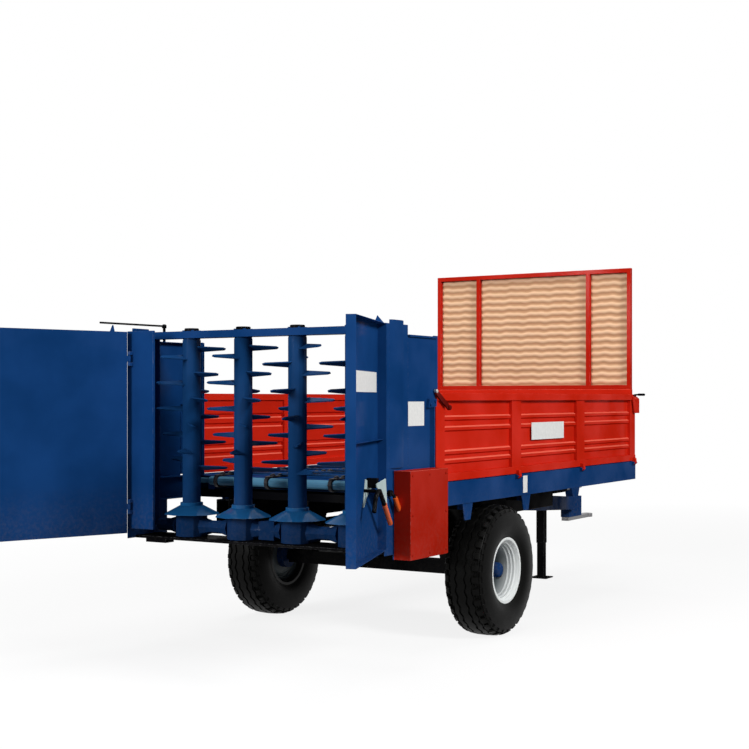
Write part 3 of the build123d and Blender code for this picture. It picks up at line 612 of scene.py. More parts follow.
class Shape:
    """A mesh under construction, in millimetres from the measuring point."""

    def __init__(self) -> None:
        """Start empty."""
        self.bm = bmesh.new()

    def hull(self, rings: Sequence[Sequence[Point]], loop: bool = False) -> "Shape":
        """Skin equal rings of points.

        Args:
            rings: rings of the same length, in order.
            loop: whether the last ring joins the first; otherwise both ends are closed.

        Returns:
            The shape itself, as all that draw on it do.
        """
        rows = [[self.bm.verts.new(p) for p in ring] for ring in rings]
        count = len(rows[0])
        faces = []
        pairs = list(zip(rows, rows[1:])) + ([(rows[-1], rows[0])] if loop else [])
        for low, high in pairs:
            for i in range(count):
                j = (i + 1) % count
                faces.append(self.bm.faces.new((low[i], low[j], high[j], high[i])))
        if not loop:
            faces.append(self.bm.faces.new(list(reversed(rows[0]))))
            faces.append(self.bm.faces.new(rows[-1]))
        bmesh.ops.recalc_face_normals(self.bm, faces=faces)
        return self

    def block(self, x0: float, x1: float, y0: float, y1: float, z0: float, z1: float) -> "Shape":
        """Block between two corners."""
        ring = [(x0, y0), (x1, y0), (x1, y1), (x0, y1)]
        return self.hull([[(x, y, z) for x, y in ring] for z in (z0, z1)])

    def prism(self, outline: Sequence[tuple[float, float]], y: float, thick: float) -> "Shape":
        """Outline of (x, z) drawn outwards from a y."""
        return self.hull([[(x, at, z) for x, z in outline] for at in (y, y + thick)])

    def bar(self, points: Sequence[Point], radius: float, sides: int = 12) -> "Shape":
        """Round bar along a bent line."""
        line = [Vector(p) for p in points]
        rings = []
        before = None
        for i, here in enumerate(line):
            ahead = (line[min(i + 1, len(line) - 1)] - line[max(i - 1, 0)]).normalized()
            if before is None:
                side = ahead.orthogonal().normalized()
            else:
                side = (before - ahead * before.dot(ahead)).normalized()
            before = side
            up = ahead.cross(side)
            turns = [tau * k / sides for k in range(sides)]
            rings.append([tuple(here + radius * (side * cos(a) + up * sin(a))) for a in turns])
        return self.hull(rings)

    def lathe(self, profile: Sequence[tuple[float, float]], centre: Point, steps: int = 64,
              axis: str = "Y") -> "Shape":
        """Turn a closed profile of (radius, offset) about an axis through a centre."""
        rings = [[around(centre, r, o, tau * k / steps, axis) for r, o in profile] for k in range(steps)]
        return self.hull(rings, loop=True)

    def turned(self, profile: Sequence[tuple[float, float]], centre: Point, steps: int = 32,
               axis: str = "Y") -> "Shape":
        """Solid of circles of (radius, offset) along an axis through a centre."""
        return self.hull([[around(centre, r, o, tau * k / steps, axis) for k in range(steps)] for r, o in profile])

    def disc(self, radius: float, length: float, centre: Point, axis: str = "Y", steps: int = 32,
             crown: float = 1.0) -> "Shape":
        """Solid round piece from a centre along an axis, with a chamfered far rim."""
        before = length - crown if length > 0 else length + crown
        return self.turned([(radius, 0.0), (radius, before), (radius - crown, length)], centre, steps, axis)

    def mirrored(self, side: Side) -> "Shape":
        """Turn the left-hand drawing to this side."""
        if side is Side.RIGHT:
            bmesh.ops.scale(self.bm, vec=(1, -1, 1), verts=self.bm.verts)
            bmesh.ops.reverse_faces(self.bm, faces=self.bm.faces)
        return self


@dataclass
class SubAssembly:
    """Base of the sub-assemblies: places, dresses and reports pieces."""

    frame: dict
    datum: Datum
    finishes: Finishes

    def add(self, name: str, shape: Shape, body: str, look: Look, bevel: float = 1.5,
            replaces: Sequence[str] = ()) -> bpy.types.Object:
        """Finish a shape as a piece of a body.

        Args:
            name: name of the piece.
            shape: the drawn shape.
            body: the CAD body that carries it.
            look: its finish.
            bevel: width of the rounded edges, in millimetres.
            replaces: CAD nodes that it stands for.

        Returns:
            The piece.
        """
        if bevel:
            round_edges(shape.bm, bevel, DRAWN_ANGLE)
        shape.bm.transform(self.datum.matrix())
        piece = settle(shape.bm, name, self.finishes.get(look))
        return self.place(piece, body, look, replaces)

    def place(self, piece: bpy.types.Object, body: str, look: Look,
              replaces: Sequence[str] = ()) -> bpy.types.Object:
        """Let a piece ride on its body and report it."""
        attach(piece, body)
        if replaces:
            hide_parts(*replaces)
        log.info("%s: %s on %s, %d faces", type(self).__name__, piece.name, body, len(piece.data.polygons))
        return piece

    def dress(self, node: str, look: Look, bevel: float = 1.5, segments: int = 2) -> bpy.types.Object:
        """Replace a CAD node with a merged copy whose edges are rounded.

        Args:
            node: the CAD node.
            look: its finish.
            bevel: width of the rounded edges, in millimetres.
            segments: strips across a rounded edge.

        Returns:
            The copy.
        """
        source = self.frame["nodes"][node]
        bm = bmesh.new()
        bm.from_mesh(source.data)
        bmesh.ops.remove_doubles(bm, verts=bm.verts, dist=2e-5)
        bmesh.ops.join_triangles(bm, faces=bm.faces, angle_face_threshold=radians(1.0),
                                 angle_shape_threshold=radians(180.0))
        round_edges(bm, bevel * MM, SOLID_ANGLE, segments)
        piece = settle(bm, node + "_dressed", self.finishes.get(look))
        return self.place(piece, source["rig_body"], look, (node,))

    def dress_all(self, rows: Iterable[tuple]) -> None:
        """Dress nodes given as what dress takes, in order."""
        for row in rows:
            self.dress(*row)

    @staticmethod
    def blank(x0: float, x1: float, z0: float, z1: float, face: float = HALF_WIDTH, thick: float = 1.5) -> Shape:
        """Blank plate on an outer face of the right side."""
        return Shape().block(x0, x1, -face - thick, -face, z0, z1)

    def points(self, name: str, places: Iterable[tuple[Point, Point, float]]) -> bpy.types.Mesh:
        """Host mesh of loose points in the frame.

        Args:
            name: name of the mesh.
            places: (place in millimetres, direction, size) of each point.

        Returns:
            A mesh with the attributes aim and size.
        """
        rows = list(places)
        matrix = self.datum.matrix()
        mesh = bpy.data.meshes.new(name)
        mesh.from_pydata([matrix @ Vector(p) for p, _, _ in rows], [], [])
        mesh.attributes.new("aim", "FLOAT_VECTOR", "POINT")
        mesh.attributes.new("size", "FLOAT", "POINT")
        mesh.attributes["aim"].data.foreach_set("vector", [c for _, aim, _ in rows for c in aim])
        mesh.attributes["size"].data.foreach_set("value", [size for _, _, size in rows])
        return mesh


class Fasteners:
    """Hexagon heads on washers, set on points by Geometry Nodes."""

    across: float = 0.011          # metres, as all sizes in a recipe
    height: float = 0.0075
    washer: tuple = (1.35, 0.28)   # its radius and height, in those of the head
    seat: float = 0.62             # middle of the head, in head heights

    def __init__(self, finishes: Finishes, look: Look) -> None:
        """Build the tree for one finish."""
        self.look = look
        recipe = Recipe(f"fasteners_{look.name.lower()}")
        tree = recipe.tree
        across = recipe.size("Across corners", self.across)
        high = recipe.size("Head height", self.height)
        wide, thin = self.washer
        head = tree.out("GeometryNodeMeshCylinder", None, {"Vertices": 6, "Radius": across, "Depth": high})
        washer = tree.out("GeometryNodeMeshCylinder", None,
                          {"Vertices": 16, "Radius": across * wide, "Depth": high * thin})
        lift = tree.out("ShaderNodeCombineXYZ", None, {2: high * self.seat})
        raised = tree.out("GeometryNodeTransform", None, {"Geometry": head, "Translation": lift})
        bolt = tree.node("GeometryNodeJoinGeometry")
        for part in (raised, washer):
            tree.tree.links.new(part.socket, bolt.inputs[0])
        turn = tree.out("FunctionNodeAlignRotationToVector", {"axis": "Z"},
                        {"Vector": recipe.attribute("aim", "FLOAT_VECTOR")})
        placed = tree.out("GeometryNodeInstanceOnPoints", None, {
            "Points": recipe.host, "Instance": Sock(tree, bolt.outputs[0]), "Rotation": turn,
            "Scale": recipe.attribute("size")})
        recipe.close(placed, finishes.get(look))
        self.recipe = recipe

    def run(self, owner: SubAssembly, name: str, body: str,
            places: Iterable[tuple[Point, Point, float]]) -> bpy.types.Object:
        """Set heads on places of a body."""
        piece = self.recipe.run(name, owner.points(name, places))
        return owner.place(piece, body, self.look)


# ---- running gear


@dataclass
class RunningGear(SubAssembly):
    """Axle with two wheels: treaded tyres, deep rims, hubs, nuts and valves."""

    axle_x: float = 1481.0
    track: float = 1708.0
    radius: float = 422.5
    periods: int = 34              # of the tread's pattern around the tyre
    notch: float = 20.0            # depth of the gaps between the shoulder blocks
    groove: float = 9.0
    channel: float = 11.0
    tooth: float = 7.0
    zigzag: float = 7.0
    # Half of the tyre's section from its middle: (offset, radius)
    section: tuple = (
        (0, 422.5), (24, 422), (27, 421.9), (37, 421.6), (40, 421.4), (58, 420), (70, 418.6), (73, 418.2), (80, 417.2),
        (83, 416.8), (86, 416.4), (98, 413.2), (108, 408.4), (113, 405), (115, 403.5), (120, 398.5), (122, 396.5),
        (127, 390), (130.5, 382), (132, 377), (138, 352), (142.5, 325), (144.5, 298), (143, 270), (136, 244),
        (126, 226), (118, 211))
    bead: tuple = (112, 200)
    # Points of the section that each part of the pattern moves
    grooves: tuple = (2, 3, 7, 8)
    zigzags: tuple = (1, 2, 3, 4, 6, 7, 8, 9)
    blocks: tuple = (9, 10, 11, 12, 13)
    channels: tuple = (14, 15)
    teeth: tuple = (16, 17, 18)
    # Steps of one period: (part of it, depth of the gap)
    steps: tuple = ((0.0, 0.2), (0.04, 0.0), (0.17, 0.0), (0.30, 0.0), (0.43, 0.0), (0.50, 0.0), (0.54, 0.2),
                    (0.58, 1.0), (0.68, 1.0), (0.78, 1.0), (0.88, 1.0), (0.96, 1.0))
    # Rim's outer face: (offset, radius)
    rim: tuple = ((119, 214), (121, 209), (119, 203), (111, 199), (105, 195), (98, 192), (93, 190), (88, 183),
                  (74, 181), (68, 174), (54, 172), (47, 165), (-30, 163), (-44, 166), (-60, 184), (-100, 189.5),
                  (-106, 193), (-112, 197), (-118, 201), (-119, 214))
    rim_wall: float = 6.0
    # Front face of the disc: (radius, offset)
    dish: tuple = ((163, -46), (156, -44), (148, -50), (134, -60), (122, -64), (80, -66), (64, -66))
    dish_wall: float = 8.0
    # Hub barrel, and the cap from the disc outwards
    disc: float = -66.0
    barrel: tuple = ((31, -122), (88, -122), (88, -76), (31, -76))
    cap: tuple = ((64, 0), (64, 12), (56, 16), (50, 22), (49, 118), (46, 132), (38, 142), (22, 148), (0.5, 149))
    nut_circle: float = 92.0
    nuts: int = 6
    # Valve stem and its cap, from the wheel's middle
    stem: tuple = ((150, -40, -64), (146, -20, -62), (136, 2, -58))
    stem_cap: tuple = ((139, -4, -59), (131, 12, -56))

    def build(self) -> None:
        """Build both wheels and dress the axle."""
        self.dress("axle_beam", Look.BLACK, 3.0)
        nuts = Fasteners(self.finishes, Look.ZINC)
        for side in Side:
            body = f"wheel_{side.label}"
            for name, shape, look, bevel, node in (("tread_tyre", self.tyre(side), Look.RUBBER, 0.0, "tyre"),
                                                   ("deep_rim", self.wheel(side), Look.RIM, 1.0, "rim"),
                                                   ("capped_hub", self.hub(side), Look.HUB, 1.5, "hub")):
                self.add(f"{name}_{side.label}", shape, body, look, bevel, (f"{node}_{side.label}",))
            self.add(f"valve_{side.label}", self.valve(side), body, Look.BLACK, 0.5)
            seat = side.value * (self.disc + 3)
            turns = [tau * (k / self.nuts + 0.25) for k in range(self.nuts)]
            nuts.run(self, f"wheel_nuts_{side.label}", body, [
                (around(self.centre(side), self.nut_circle, seat, a), (0, side.value, 0), 1.5) for a in turns])

    def centre(self, side: Side = Side.LEFT) -> Point:
        """Middle of a wheel."""
        return (self.axle_x, side.value * self.track / 2, self.radius)

    def tyre(self, side: Side) -> Shape:
        """Carcass with zigzag grooves between ribs and notched shoulder blocks."""
        half = list(self.section)
        points = []
        for i, (o, r) in enumerate(half):
            before, after = half[max(i - 1, 0)], half[min(i + 1, len(half) - 1)]
            run = Vector((before[1] - after[1], after[0] - before[0])).normalized()
            sunk = self.groove if i in self.grooves else self.channel if i in self.channels else 0.0
            block = self.notch if i in self.blocks else 0.0
            tooth = self.tooth if i in self.teeth else 0.0
            points.append((o, r, run, sunk, block, tooth, self.zigzag if i in self.zigzags else 0.0))
        across = [(-1, *p) for p in reversed(points[1:])] + [(1, *p) for p in points]
        edge, foot = self.bead
        rings = []
        for k in range(self.periods):
            for part, low in self.steps:
                a = tau * (k + part) / self.periods
                wave = abs(((part * 2 + 0.5) % 2) - 1) * 2 - 1
                ring = []
                for sign, o, r, run, sunk, block, tooth, zig in across:
                    depth = sunk + block * low + tooth * (1.0 - low)
                    offset = sign * (o - run.x * depth) + zig * wave
                    ring.append(around(self.centre(), r - run.y * depth, offset, a))
                rings.append(ring + [around(self.centre(), foot, o, a) for o in (edge, -edge)])
        return Shape().hull(rings, loop=True).mirrored(side)

    def wheel(self, side: Side) -> Shape:
        """Rolled rim with a deep well, and the dished disc inside it."""
        outer = [(r, o) for o, r in self.rim]
        inner = [(r - self.rim_wall, o) for r, o in reversed(outer[1:-1])]
        back = [(r, o - self.dish_wall) for r, o in reversed(self.dish)]
        shape = Shape().lathe(outer + inner, self.centre(), 96)
        return shape.lathe([*self.dish, *back], self.centre(), 72).mirrored(side)

    def hub(self, side: Side) -> Shape:
        """Hub barrel behind the disc and the long domed cap that stands out of it."""
        shape = Shape().turned([(r, self.disc + o) for r, o in self.cap], self.centre(), 48)
        return shape.lathe(self.barrel, self.centre(), 48).mirrored(side)

    def valve(self, side: Side) -> Shape:
        """Valve stem through the rim's well."""
        shape = Shape()
        for line, thick in ((self.stem, 6.5), (self.stem_cap, 8.5)):
            shape.bar([tuple(a + b for a, b in zip(self.centre(), p)) for p in line], thick, 10)
        return shape.mirrored(side)


# ---- chassis and drawbar


@dataclass
class Chassis(SubAssembly):
    """Rails, beams, floor, conveyor, drawbar and jack."""

    nodes: tuple = (
        ("side_rail_left", Look.BLUE, 3.0), ("main_beam_left", Look.BLACK, 4.0),
        ("side_rail_right", Look.BLUE, 3.0), ("main_beam_right", Look.BLACK, 4.0),
        ("cross_members", Look.MEMBER_BLUE, 2.5), ("floor_deck", Look.BLUE, 1.0),
        ("conveyor_chains", Look.CHAIN, 1.0), ("conveyor_slats", Look.SLAT_BLUE, 2.0),
        ("conveyor_roller_rear", Look.WORN_BLUE, 1.5), ("conveyor_roller_front", Look.WORN_BLUE, 1.5),
        ("drive_tube", Look.BLACK, 2.0), ("bearing_stand", Look.BLUE, 2.0), ("input_shaft", Look.STEEL, 1.0),
        ("front_sill", Look.BLUE, 2.5), ("drawbar", Look.BLUE, 4.0), ("drawbar_eye", Look.STEEL, 3.0),
        ("jack_tube", Look.BLACK, 3.0), ("jack_leg", Look.BLACK, 2.5))
    strip: tuple = (1812.0, 1880.0, 902.0, 1016.0)
    chain_y: tuple = (-640.0, -240.0, 240.0, 640.0)
    chain_x: tuple = (545.0, 3895.0)
    chain_z: float = 1036.0
    link: float = 42.0             # from one link to the next
    rod: float = 0.0055
    ring: float = 0.0185
    stretch: Point = (1.55, 0.75, 1.0)

    def build(self) -> None:
        """Dress the nodes and add the small pieces."""
        self.dress_all(self.nodes)
        self.add("rail_strip", self.blank(*self.strip), "chassis", Look.PLATE, 0.5)
        self.chains()

    def chains(self) -> None:
        """Oval links along the four chains of the floor, each turned against the next."""
        recipe = Recipe("chain_links")
        tree = recipe.tree
        rod = recipe.size("Rod", self.rod)
        circle, circle_kind = "GeometryNodeCurvePrimitiveCircle", {"mode": "RADIUS"}
        line = tree.out(circle, circle_kind, {"Resolution": 12, "Radius": self.ring})
        oval = tree.out("GeometryNodeTransform", None, {"Geometry": line, "Scale": self.stretch})
        wire = tree.out(circle, circle_kind, {"Resolution": 6, "Radius": rod})
        link = tree.out("GeometryNodeCurveToMesh", None, {"Curve": oval, "Profile Curve": wire})
        roll = tree.out("ShaderNodeCombineXYZ", None, {0: recipe.attribute("size")})
        turn = tree.out("FunctionNodeEulerToRotation", None, {0: roll})
        placed = tree.out("GeometryNodeInstanceOnPoints", None,
                          {"Points": recipe.host, "Instance": link, "Rotation": turn})
        recipe.close(placed, self.finishes.get(Look.CHAIN))
        start, end = self.chain_x
        count = int((end - start) / self.link)
        places = [((start + self.link * k, y, self.chain_z), (1, 0, 0), (k % 2) * pi / 2)
                  for y in self.chain_y for k in range(count)]
        name = "floor_chain_links"
        self.place(recipe.run(name, self.points(name, places)), "chassis", Look.CHAIN)


# ---- rear unit


@dataclass
class RearUnit(SubAssembly):
    """Posts, cheeks, top beam, gearboxes, bladed rotors and the chain case."""

    nodes: tuple = (
        ("rear_post_left", Look.BLUE, 2.5), ("housing_side_left", Look.BLUE, 1.5),
        ("rear_post_right", Look.BLUE, 2.5), ("housing_side_right", Look.BLUE, 1.5),
        ("top_beam", Look.BLUE, 2.5), ("gearbox_beam", Look.BLACK, 2.5), ("rotor_gearboxes", Look.GEAR_BLUE, 3.0),
        ("gear_cover", Look.CASE_RED, 4.0, 3), ("cover_plate", Look.BLUE, 1.5), ("door_stay", Look.BLACK, 1.0))
    rotor_x: float = 220.0
    rotor_y: tuple = (600.0, 200.0, -200.0, -600.0)
    # Cap over a rotor's top bearing, from the top beam's upper face, and the collar below: (radius, height)
    top: float = 1951.0
    cap: tuple = ((43, 2), (45, 2), (45, 17), (42, 20), (0.6, 20), (0.6, 17), (43, 17))
    neck: tuple = ((30, 1896), (54, 1896), (54, 1908), (30, 1908))
    cap_bolts: tuple = (50.0, 1952.0, 4)          # circle, height and number
    box_bolts: tuple = (81.0, 807.0, 8)
    label: tuple = (258.0, 445.0, 1375.0, 1515.0)
    stud: Point = (320.0, 905.0, 1985.0)
    # Blocks of the cheek's front edge strip, its inward flange and the left cheek's lower strip
    folds: tuple = ((572, 614, 925, 935, 1572, 1903), (582, 590, 800, 930, 1062, 1900))
    left_fold: tuple = (512, 586, 927, 935, 1036, 1492)
    # Pressed rib of the post: outline from above, and heights
    rib: tuple = ((45, 935), (85, 946), (168, 946), (208, 935))
    rib_z: tuple = (1142.0, 1974.0)
    # Screws of the chain case: x, z and y
    screw_x: tuple = (111.0, 306.5, 502.0)
    screw_z: tuple = (658.0, 1102.0)
    screw_y: float = -1050.5

    def build(self) -> None:
        """Dress the nodes and add caps, bolts and the blank label."""
        self.dress_all(self.nodes)
        knob = Shape().disc(15, 22, self.stud, "Z", 12, 3)
        self.add("stay_knob", knob, "chassis", Look.BLACK, 1.0)
        for i in range(1, len(self.rotor_y) + 1):
            self.dress(f"rotor_{i}", Look.ROTOR_BLUE, 1.2)
            self.dress(f"rotor_cone_{i}", Look.CONE_BLUE, 2.0)
        self.add("cheek_label", self.blank(*self.label), "chassis", Look.PLATE, 0.5)
        caps, collars = Shape(), Shape()
        for y in self.rotor_y:
            caps.lathe(self.cap, (self.rotor_x, y, self.top), 40, "Z")
            collars.lathe(self.neck, (self.rotor_x, y, 0.0), 32, "Z")
        self.add("bearing_caps", caps, "chassis", Look.BLACK, 1.0)
        self.add("bearing_collars", collars, "chassis", Look.ROTOR_BLUE, 1.0)
        for side in Side:
            self.add(f"cheek_folds_{side.label}", self.cheek_folds(side), "chassis", Look.BLUE, 1.0)
            self.add(f"post_rib_{side.label}", self.post_rib(side), "chassis", Look.BLUE, 2.0)
        self.bolts()

    def cheek_folds(self, side: Side) -> Shape:
        """Front edge strip of the cheek and its wide inward flange."""
        shape = Shape()
        for corners in self.folds + ((self.left_fold,) if side is Side.LEFT else ()):
            shape.block(*corners)
        return shape.mirrored(side)

    def post_rib(self, side: Side) -> Shape:
        """Pressed rib down the outer face of the post."""
        return Shape().hull([[(x, y, z) for x, y in self.rib] for z in self.rib_z]).mirrored(side)

    def bolts(self) -> None:
        """Heads around the bearing caps, on the gearboxes and on the chain case."""
        heads: list[tuple[Point, Point, float]] = []
        for y in self.rotor_y:
            for circle, height, count in (self.cap_bolts, self.box_bolts):
                turns = [tau * (k + 0.5) / count for k in range(count)]
                heads += [(around((self.rotor_x, y, 0.0), circle, height, a, "Z"), (0, 0, 1), 0.8) for a in turns]
        Fasteners(self.finishes, Look.ROTOR_BLUE).run(self, "cap_bolts", "chassis", heads)
        left, _, right = self.screw_x
        low, high = self.screw_z
        spots = [(x, z) for z in self.screw_z for x in self.screw_x] + [(x, (low + high) / 2) for x in (left, right)]
        screws = [((x, self.screw_y, z), (0, -1, 0), 0.5) for x, z in spots]
        Fasteners(self.finishes, Look.CASE_RED).run(self, "case_bolts", "chassis", screws)


# ---- doors


@dataclass
class Doors(SubAssembly):
    """Rear doors with their plates, latch and levers."""

    hinge: tuple = (-20.0, 902.0)
    open: float = 110.5
    # Pieces on the right door: name, finish, bevel, then its flat parts, each an outline of (along, z)
    # between two depths, and its round parts, each a line of (along, depth, z) with radius and sides
    fittings: tuple = (
        ("door_plate", Look.PLATE, 0.5, ((((62, 1566), (625, 1566), (625, 1676), (62, 1676)), 0.5, 3.5),), ()),
        ("latch_plates", Look.LATCH, 1.0, (
            (((395, 1109), (176, 1067), (192, 1053), (282, 1045), (368, 1009), (440, 962), (456, 968)), 2, 8),
            (((398, 1086), (131, 1098), (88, 950), (172, 961), (279, 1031), (398, 1067)), 62, 68)), ()),
        ("latch_legs", Look.BLACK, 1.0, ((((318, 1060), (356, 1060), (356, 1112), (318, 1112)), 4, 62),), (
            (((440, 80, 1048), (388, 80, 1048), (250, 80, 968)), 12, 10),
            (((440, 80, 1048), (500, 80, 1018), (545, 80, 949)), 12, 10),
            (((420, 4, 1050), (420, 80, 1048)), 9, 12))),
        ("latch_grip", Look.GRIP, 1.5, (), ((((250, 80, 968), (160, 80, 910), (62, 80, 848)), 14, 14),)))
    # Lever on the outside of the right post, and its grip
    pivot: Point = (38, -HALF_WIDTH, 1006)
    lever: tuple = ((38, -955, 1006), (46, -966, 992), (54, -970, 976))
    grip: tuple = ((50, -970, 984), (76, -972, 938), (112, -976, 886))

    def at(self, along: float, depth: float, z: float) -> Point:
        """Place on the open right door: along its width, out from its sheet, height."""
        a = radians(self.open)
        x, y = self.hinge
        return (x - along * sin(a) - depth * cos(a), -(y - along * cos(a) + depth * sin(a)), z)

    def build(self) -> None:
        """Dress both doors and add what is on them."""
        self.dress_all((f"door_{side.label}", Look.BLUE, 1.5) for side in Side)
        for name, look, bevel, flat, rods in self.fittings:
            shape = Shape()
            for outline, *depths in flat:
                shape.hull([[self.at(s, depth, z) for s, z in outline] for depth in depths])
            for line, radius, sides in rods:
                shape.bar([self.at(*p) for p in line], radius, sides)
            self.add(name, shape, "door_right", look, bevel)
        lever = Shape().disc(18, -24, self.pivot, "Y", 24, 3).bar(self.lever, 9, 10)
        self.add("case_lever", lever, "chassis", Look.BLACK, 1.0)
        self.add("case_grip", Shape().bar(self.grip, 14, 14), "chassis", Look.GRIP, 1.5)


# ---- drop sides


@dataclass
class DropSides(SubAssembly):
    """Ribbed side boards with their plate and latches."""

    rib_face: float = 922.0
    plate: tuple = (1975.0, 2525.0, 1252.0, 1370.0)
    plate_thick: float = 3.0
    proud: float = 941.0           # outer face of the top rail
    # Slanting strap of the rear catch, its pins, and its keeper on the cheek; outlines are (x, z)
    strap: tuple = ((574, 1590), (558, 1564), (727, 1462), (743, 1488))
    lower_pin: Point = (728, 941, 1478)
    upper_pin: Point = (566, 941, 1576)
    keeper: tuple = ((466, 1478), (566, 1486), (566, 1530), (482, 1530))
    keeper_bolts: tuple = ((492, 955, 1496), (546, 955, 1514))
    # Catch plate past the front end of the top rail, its pin, its lever and the lever's handle
    catch: tuple = ((3858, 1548), (3948, 1548), (4004, 1530), (4004, 1416), (3900, 1416))
    front_pin: Point = (3920, 941, 1525)
    lever: tuple = ((3888, 945, 1556), (3900, 951, 1562), (3950, 966, 1564))
    handle: tuple = ((3946, 965, 1564), (4022, 985, 1564))

    def build(self) -> None:
        """Dress both boards and add plate and latches."""
        self.dress_all((f"side_board_{side.label}", Look.RED, 2.5) for side in Side)
        plate = self.blank(*self.plate, self.rib_face, self.plate_thick)
        self.add("board_plate", plate, "side_board_right", Look.PLATE, 0.8)
        for side in Side:
            for name, shape, look, bevel in self.catches():
                body = "chassis" if name == "catch_keeper" else f"side_board_{side.label}"
                self.add(f"{name}_{side.label}", shape.mirrored(side), body, look, bevel)

    def catches(self) -> list[tuple[str, Shape, Look, float]]:
        """Left-hand pieces of the catches: name, shape, finish, bevel."""
        strap = Shape().prism(self.strap, self.proud, 11).disc(15, 22, self.lower_pin, "Y", 20, 2)
        pin = Shape().disc(11, 20, self.upper_pin, "Y", 16, 3)
        front = Shape().prism(self.catch, self.proud, 10).disc(13, 14, self.front_pin, "Y", 20, 2)
        lever = Shape().bar(self.lever, 7, 10).bar(self.handle, 10, 12)
        keeper = Shape().prism(self.keeper, HALF_WIDTH, 20)
        for place in self.keeper_bolts:
            keeper.disc(9, 7, place, "Y", 6, 1)
        return [("rear_catch", strap, Look.DARK_RED, 2.0), ("catch_pin", pin, Look.ZINC, 1.0),
                ("front_catch", front, Look.RED, 1.5), ("front_lever", lever, Look.BLACK, 1.0),
                ("catch_keeper", keeper, Look.BLUE, 2.0)]


# ---- front


@dataclass
class FrontGuard(SubAssembly):
    """Headboard, guard frame and its rippled mesh."""

    rows: float = 17.0
    depth: float = 4.0
    waves: tuple = ((29.0, 3.0, 0.05), (61.0, 9.0, 0.04))   # of the rows: across, up and height
    cells: tuple = (120, 136)                               # of the sheet: across and up
    half_sheet: float = 0.001

    def build(self) -> None:
        """Dress the headboard and frame, and build the mesh."""
        self.dress_all((("headboard", Look.RED, 2.0), ("guard_frame", Look.GUARD_RED, 3.0)))
        low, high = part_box("guard_mesh")
        recipe = Recipe("rippled_mesh")
        tree = recipe.tree
        pitch = recipe.size("Pitch", (high.z - low.z) / self.rows)
        depth = recipe.size("Depth", self.depth * MM)
        _, y, z = tree.parts(tree.out("GeometryNodeInputPosition"))
        slow, quick = ((y * across + z * up).sine() * size for across, up, size in self.waves)
        ripple = ((z / pitch + (slow + quick)) * tau).sine()
        push = tree.out("ShaderNodeCombineXYZ", None, {0: ripple * depth * -1.0})
        # crest marks each row's crest, where the mesh colour paints light against the painted shade of the hollow.
        marked = tree.out("GeometryNodeStoreNamedAttribute", {"data_type": "FLOAT", "domain": "POINT"},
                          {"Geometry": recipe.host, "Name": "crest", "Value": ripple * 0.5 + 0.5})
        moved = tree.out("GeometryNodeSetPosition", None, {"Geometry": marked, "Offset": push})
        recipe.close(moved, self.finishes.get(Look.MESH))
        piece = recipe.run("rippled_mesh", self.grid(low, high))
        for face in piece.data.polygons:
            face.use_smooth = True
        self.place(piece, "chassis", Look.MESH, ("guard_mesh",))

    def grid(self, low: Vector, high: Vector) -> bpy.types.Mesh:
        """Two sheets of small cells between two corners, back to back."""
        across, up = self.cells
        mid = (low.x + high.x) / 2
        bm = bmesh.new()
        back, front = [[[bm.verts.new((x, low.y + (high.y - low.y) * i / across, low.z + (high.z - low.z) * j / up))
                         for i in range(across + 1)] for j in range(up + 1)]
                       for x in (mid - self.half_sheet, mid + self.half_sheet)]
        for j in range(up):
            for i in range(across):
                bm.faces.new((front[j][i], front[j][i + 1], front[j + 1][i + 1], front[j + 1][i]))
                bm.faces.new((back[j][i], back[j + 1][i], back[j + 1][i + 1], back[j][i + 1]))
        mesh = bpy.data.meshes.new("guard_sheet")
        bm.to_mesh(mesh)
        bm.free()
        return mesh


# ---- studio


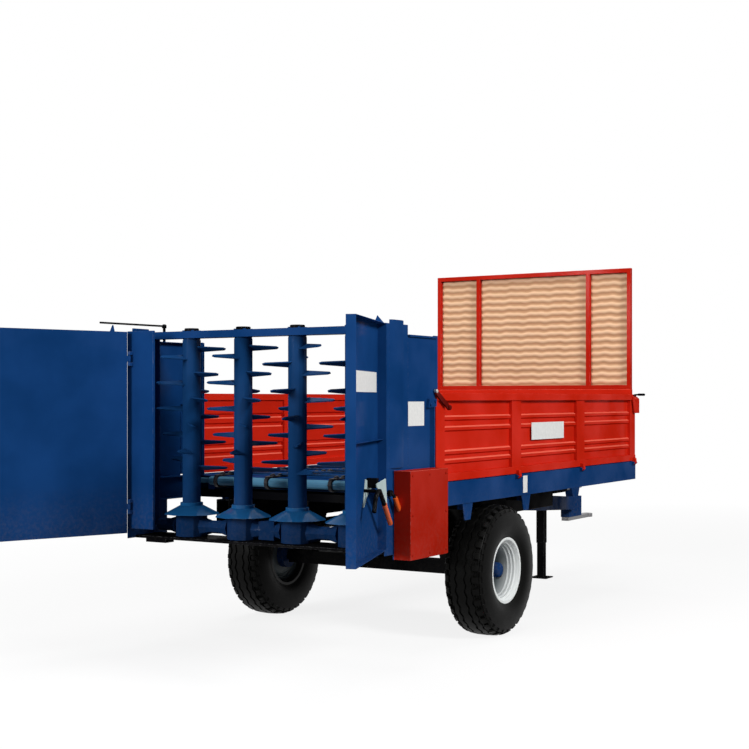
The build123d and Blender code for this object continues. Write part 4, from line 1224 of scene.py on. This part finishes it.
@dataclass(frozen=True)
class Studio:
    """Pale floor, soft lamps, white surroundings and the camera."""

    camera_place: Point = (-11.673, -4.741, 1.068)
    camera_turn: Point = (90.0, 0.0, -58.955)
    lens: float = 64.944
    sensor: float = 36.0
    shift_y: float = 0.0324
    # Lamps: name, place, aim, size and power
    lamps: tuple = (("key", (-7.0, -12.5, 7.5), (-3.0, 0.0, 1.0), 3.5, 1550.0),
                    ("sky", (-3.0, 0.5, 8.0), (-3.0, 0.0, 0.0), 6.0, 380.0),
                    ("rear", (-20.0, 5.0, 5.5), (-3.0, 0.0, 1.2), 6.0, 2000.0))
    surround: float = 0.11
    reach: float = 60.0            # half of the floor's width
    middle: float = 2.9            # of the shadow, behind the origin
    squash: float = 0.55           # of the shadow's length against its width
    clear: tuple = (2.4, 6.0)      # where the floor turns white
    whiten: float = 0.84           # and how white it is before that
    floor_grey: Colour = (0.25, 0.25, 0.25)
    sky_tint: Colour = (0.95, 0.97, 1.0)
    white: Colour = (1.0, 1.0, 1.0)

    def build(self, ground: float) -> None:
        """Build everything around the object."""
        self.floor(ground)
        self.world()
        for row in self.lamps:
            self.lamp(*row)
        data = bpy.data.cameras.new("camera")
        data.lens = self.lens
        data.sensor_width = self.sensor
        data.shift_y = self.shift_y
        camera = linked("camera", data)
        camera.location = self.camera_place
        camera.rotation_euler = tuple(radians(a) for a in self.camera_turn)
        bpy.context.scene.camera = camera
        bpy.context.scene.view_settings.view_transform = "Standard"

    def seen(self, tree: Tree) -> Sock:
        """1 on rays from the camera, a reflection or a transmission."""
        path = tree.node("ShaderNodeLightPath")
        rays = [Sock(tree, path.outputs[name]) for name in ("Is Camera Ray", "Is Glossy Ray", "Is Transmission Ray")]
        return (rays[0] + rays[1] + rays[2]).span(0.0, 1.0)

    def floor(self, ground: float) -> None:
        """Large pale floor that keeps a soft shadow."""
        mesh = bpy.data.meshes.new("floor")
        corners = ((-1, -1), (1, -1), (1, 1), (-1, 1))
        mesh.from_pydata([(x * self.reach, y * self.reach, ground) for x, y in corners], [], [(0, 1, 2, 3)])
        floor = linked("floor", mesh)
        material = bpy.data.materials.new("pale_floor")
        tree = Tree.of(material)
        seen = self.seen(tree)
        x, y, _ = tree.parts(tree.place())
        away = (((x + self.middle) * self.squash) ** 2.0 + y ** 2.0) ** 0.5
        lit = tree.out("ShaderNodeBsdfDiffuse", None, {"Color": tree.blend(seen, self.floor_grey, self.white)})
        glow = tree.out("ShaderNodeEmission", None, {"Color": self.white, "Strength": 1.0})
        white = seen * (self.whiten + (1.0 - self.whiten) * away.span(*self.clear))
        both = tree.out("ShaderNodeMixShader", None, {0: white, 1: lit, 2: glow})
        tree.node("ShaderNodeOutputMaterial", None, {"Surface": both})
        mesh.materials.append(material)

    def world(self) -> None:
        """White where it is seen, soft grey where it lights."""
        world = bpy.data.worlds.new("surroundings")
        tree = Tree.of(world)
        light, white = (tree.out("ShaderNodeBackground", None, {"Color": colour, "Strength": strength})
                        for colour, strength in ((self.sky_tint, self.surround), (self.white, 1.0)))
        both = tree.out("ShaderNodeMixShader", None, {0: self.seen(tree), 1: light, 2: white})
        tree.node("ShaderNodeOutputWorld", None, {"Surface": both})
        bpy.context.scene.world = world

    def lamp(self, name: str, place: Point, aim: Point, size: float, power: float) -> None:
        """Soft square lamp from a place towards an aim."""
        data = bpy.data.lights.new(name, "AREA")
        data.shape = "SQUARE"
        data.size = size
        data.energy = power
        lamp = linked(name, data)
        lamp.location = place
        lamp.rotation_euler = (Vector(aim) - Vector(place)).to_track_quat("-Z", "Y").to_euler()


def main() -> None:
    """Load the frame and build the sub-assemblies in order."""
    logging.basicConfig(level=logging.INFO, format="%(message)s")
    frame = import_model()
    datum = Datum.read()
    finishes = Finishes()
    Studio().build(datum.z)
    for kind in (RunningGear, Chassis, RearUnit, Doors, DropSides, FrontGuard):
        kind(frame, datum, finishes).build()


if __name__ == "__main__":
    main()
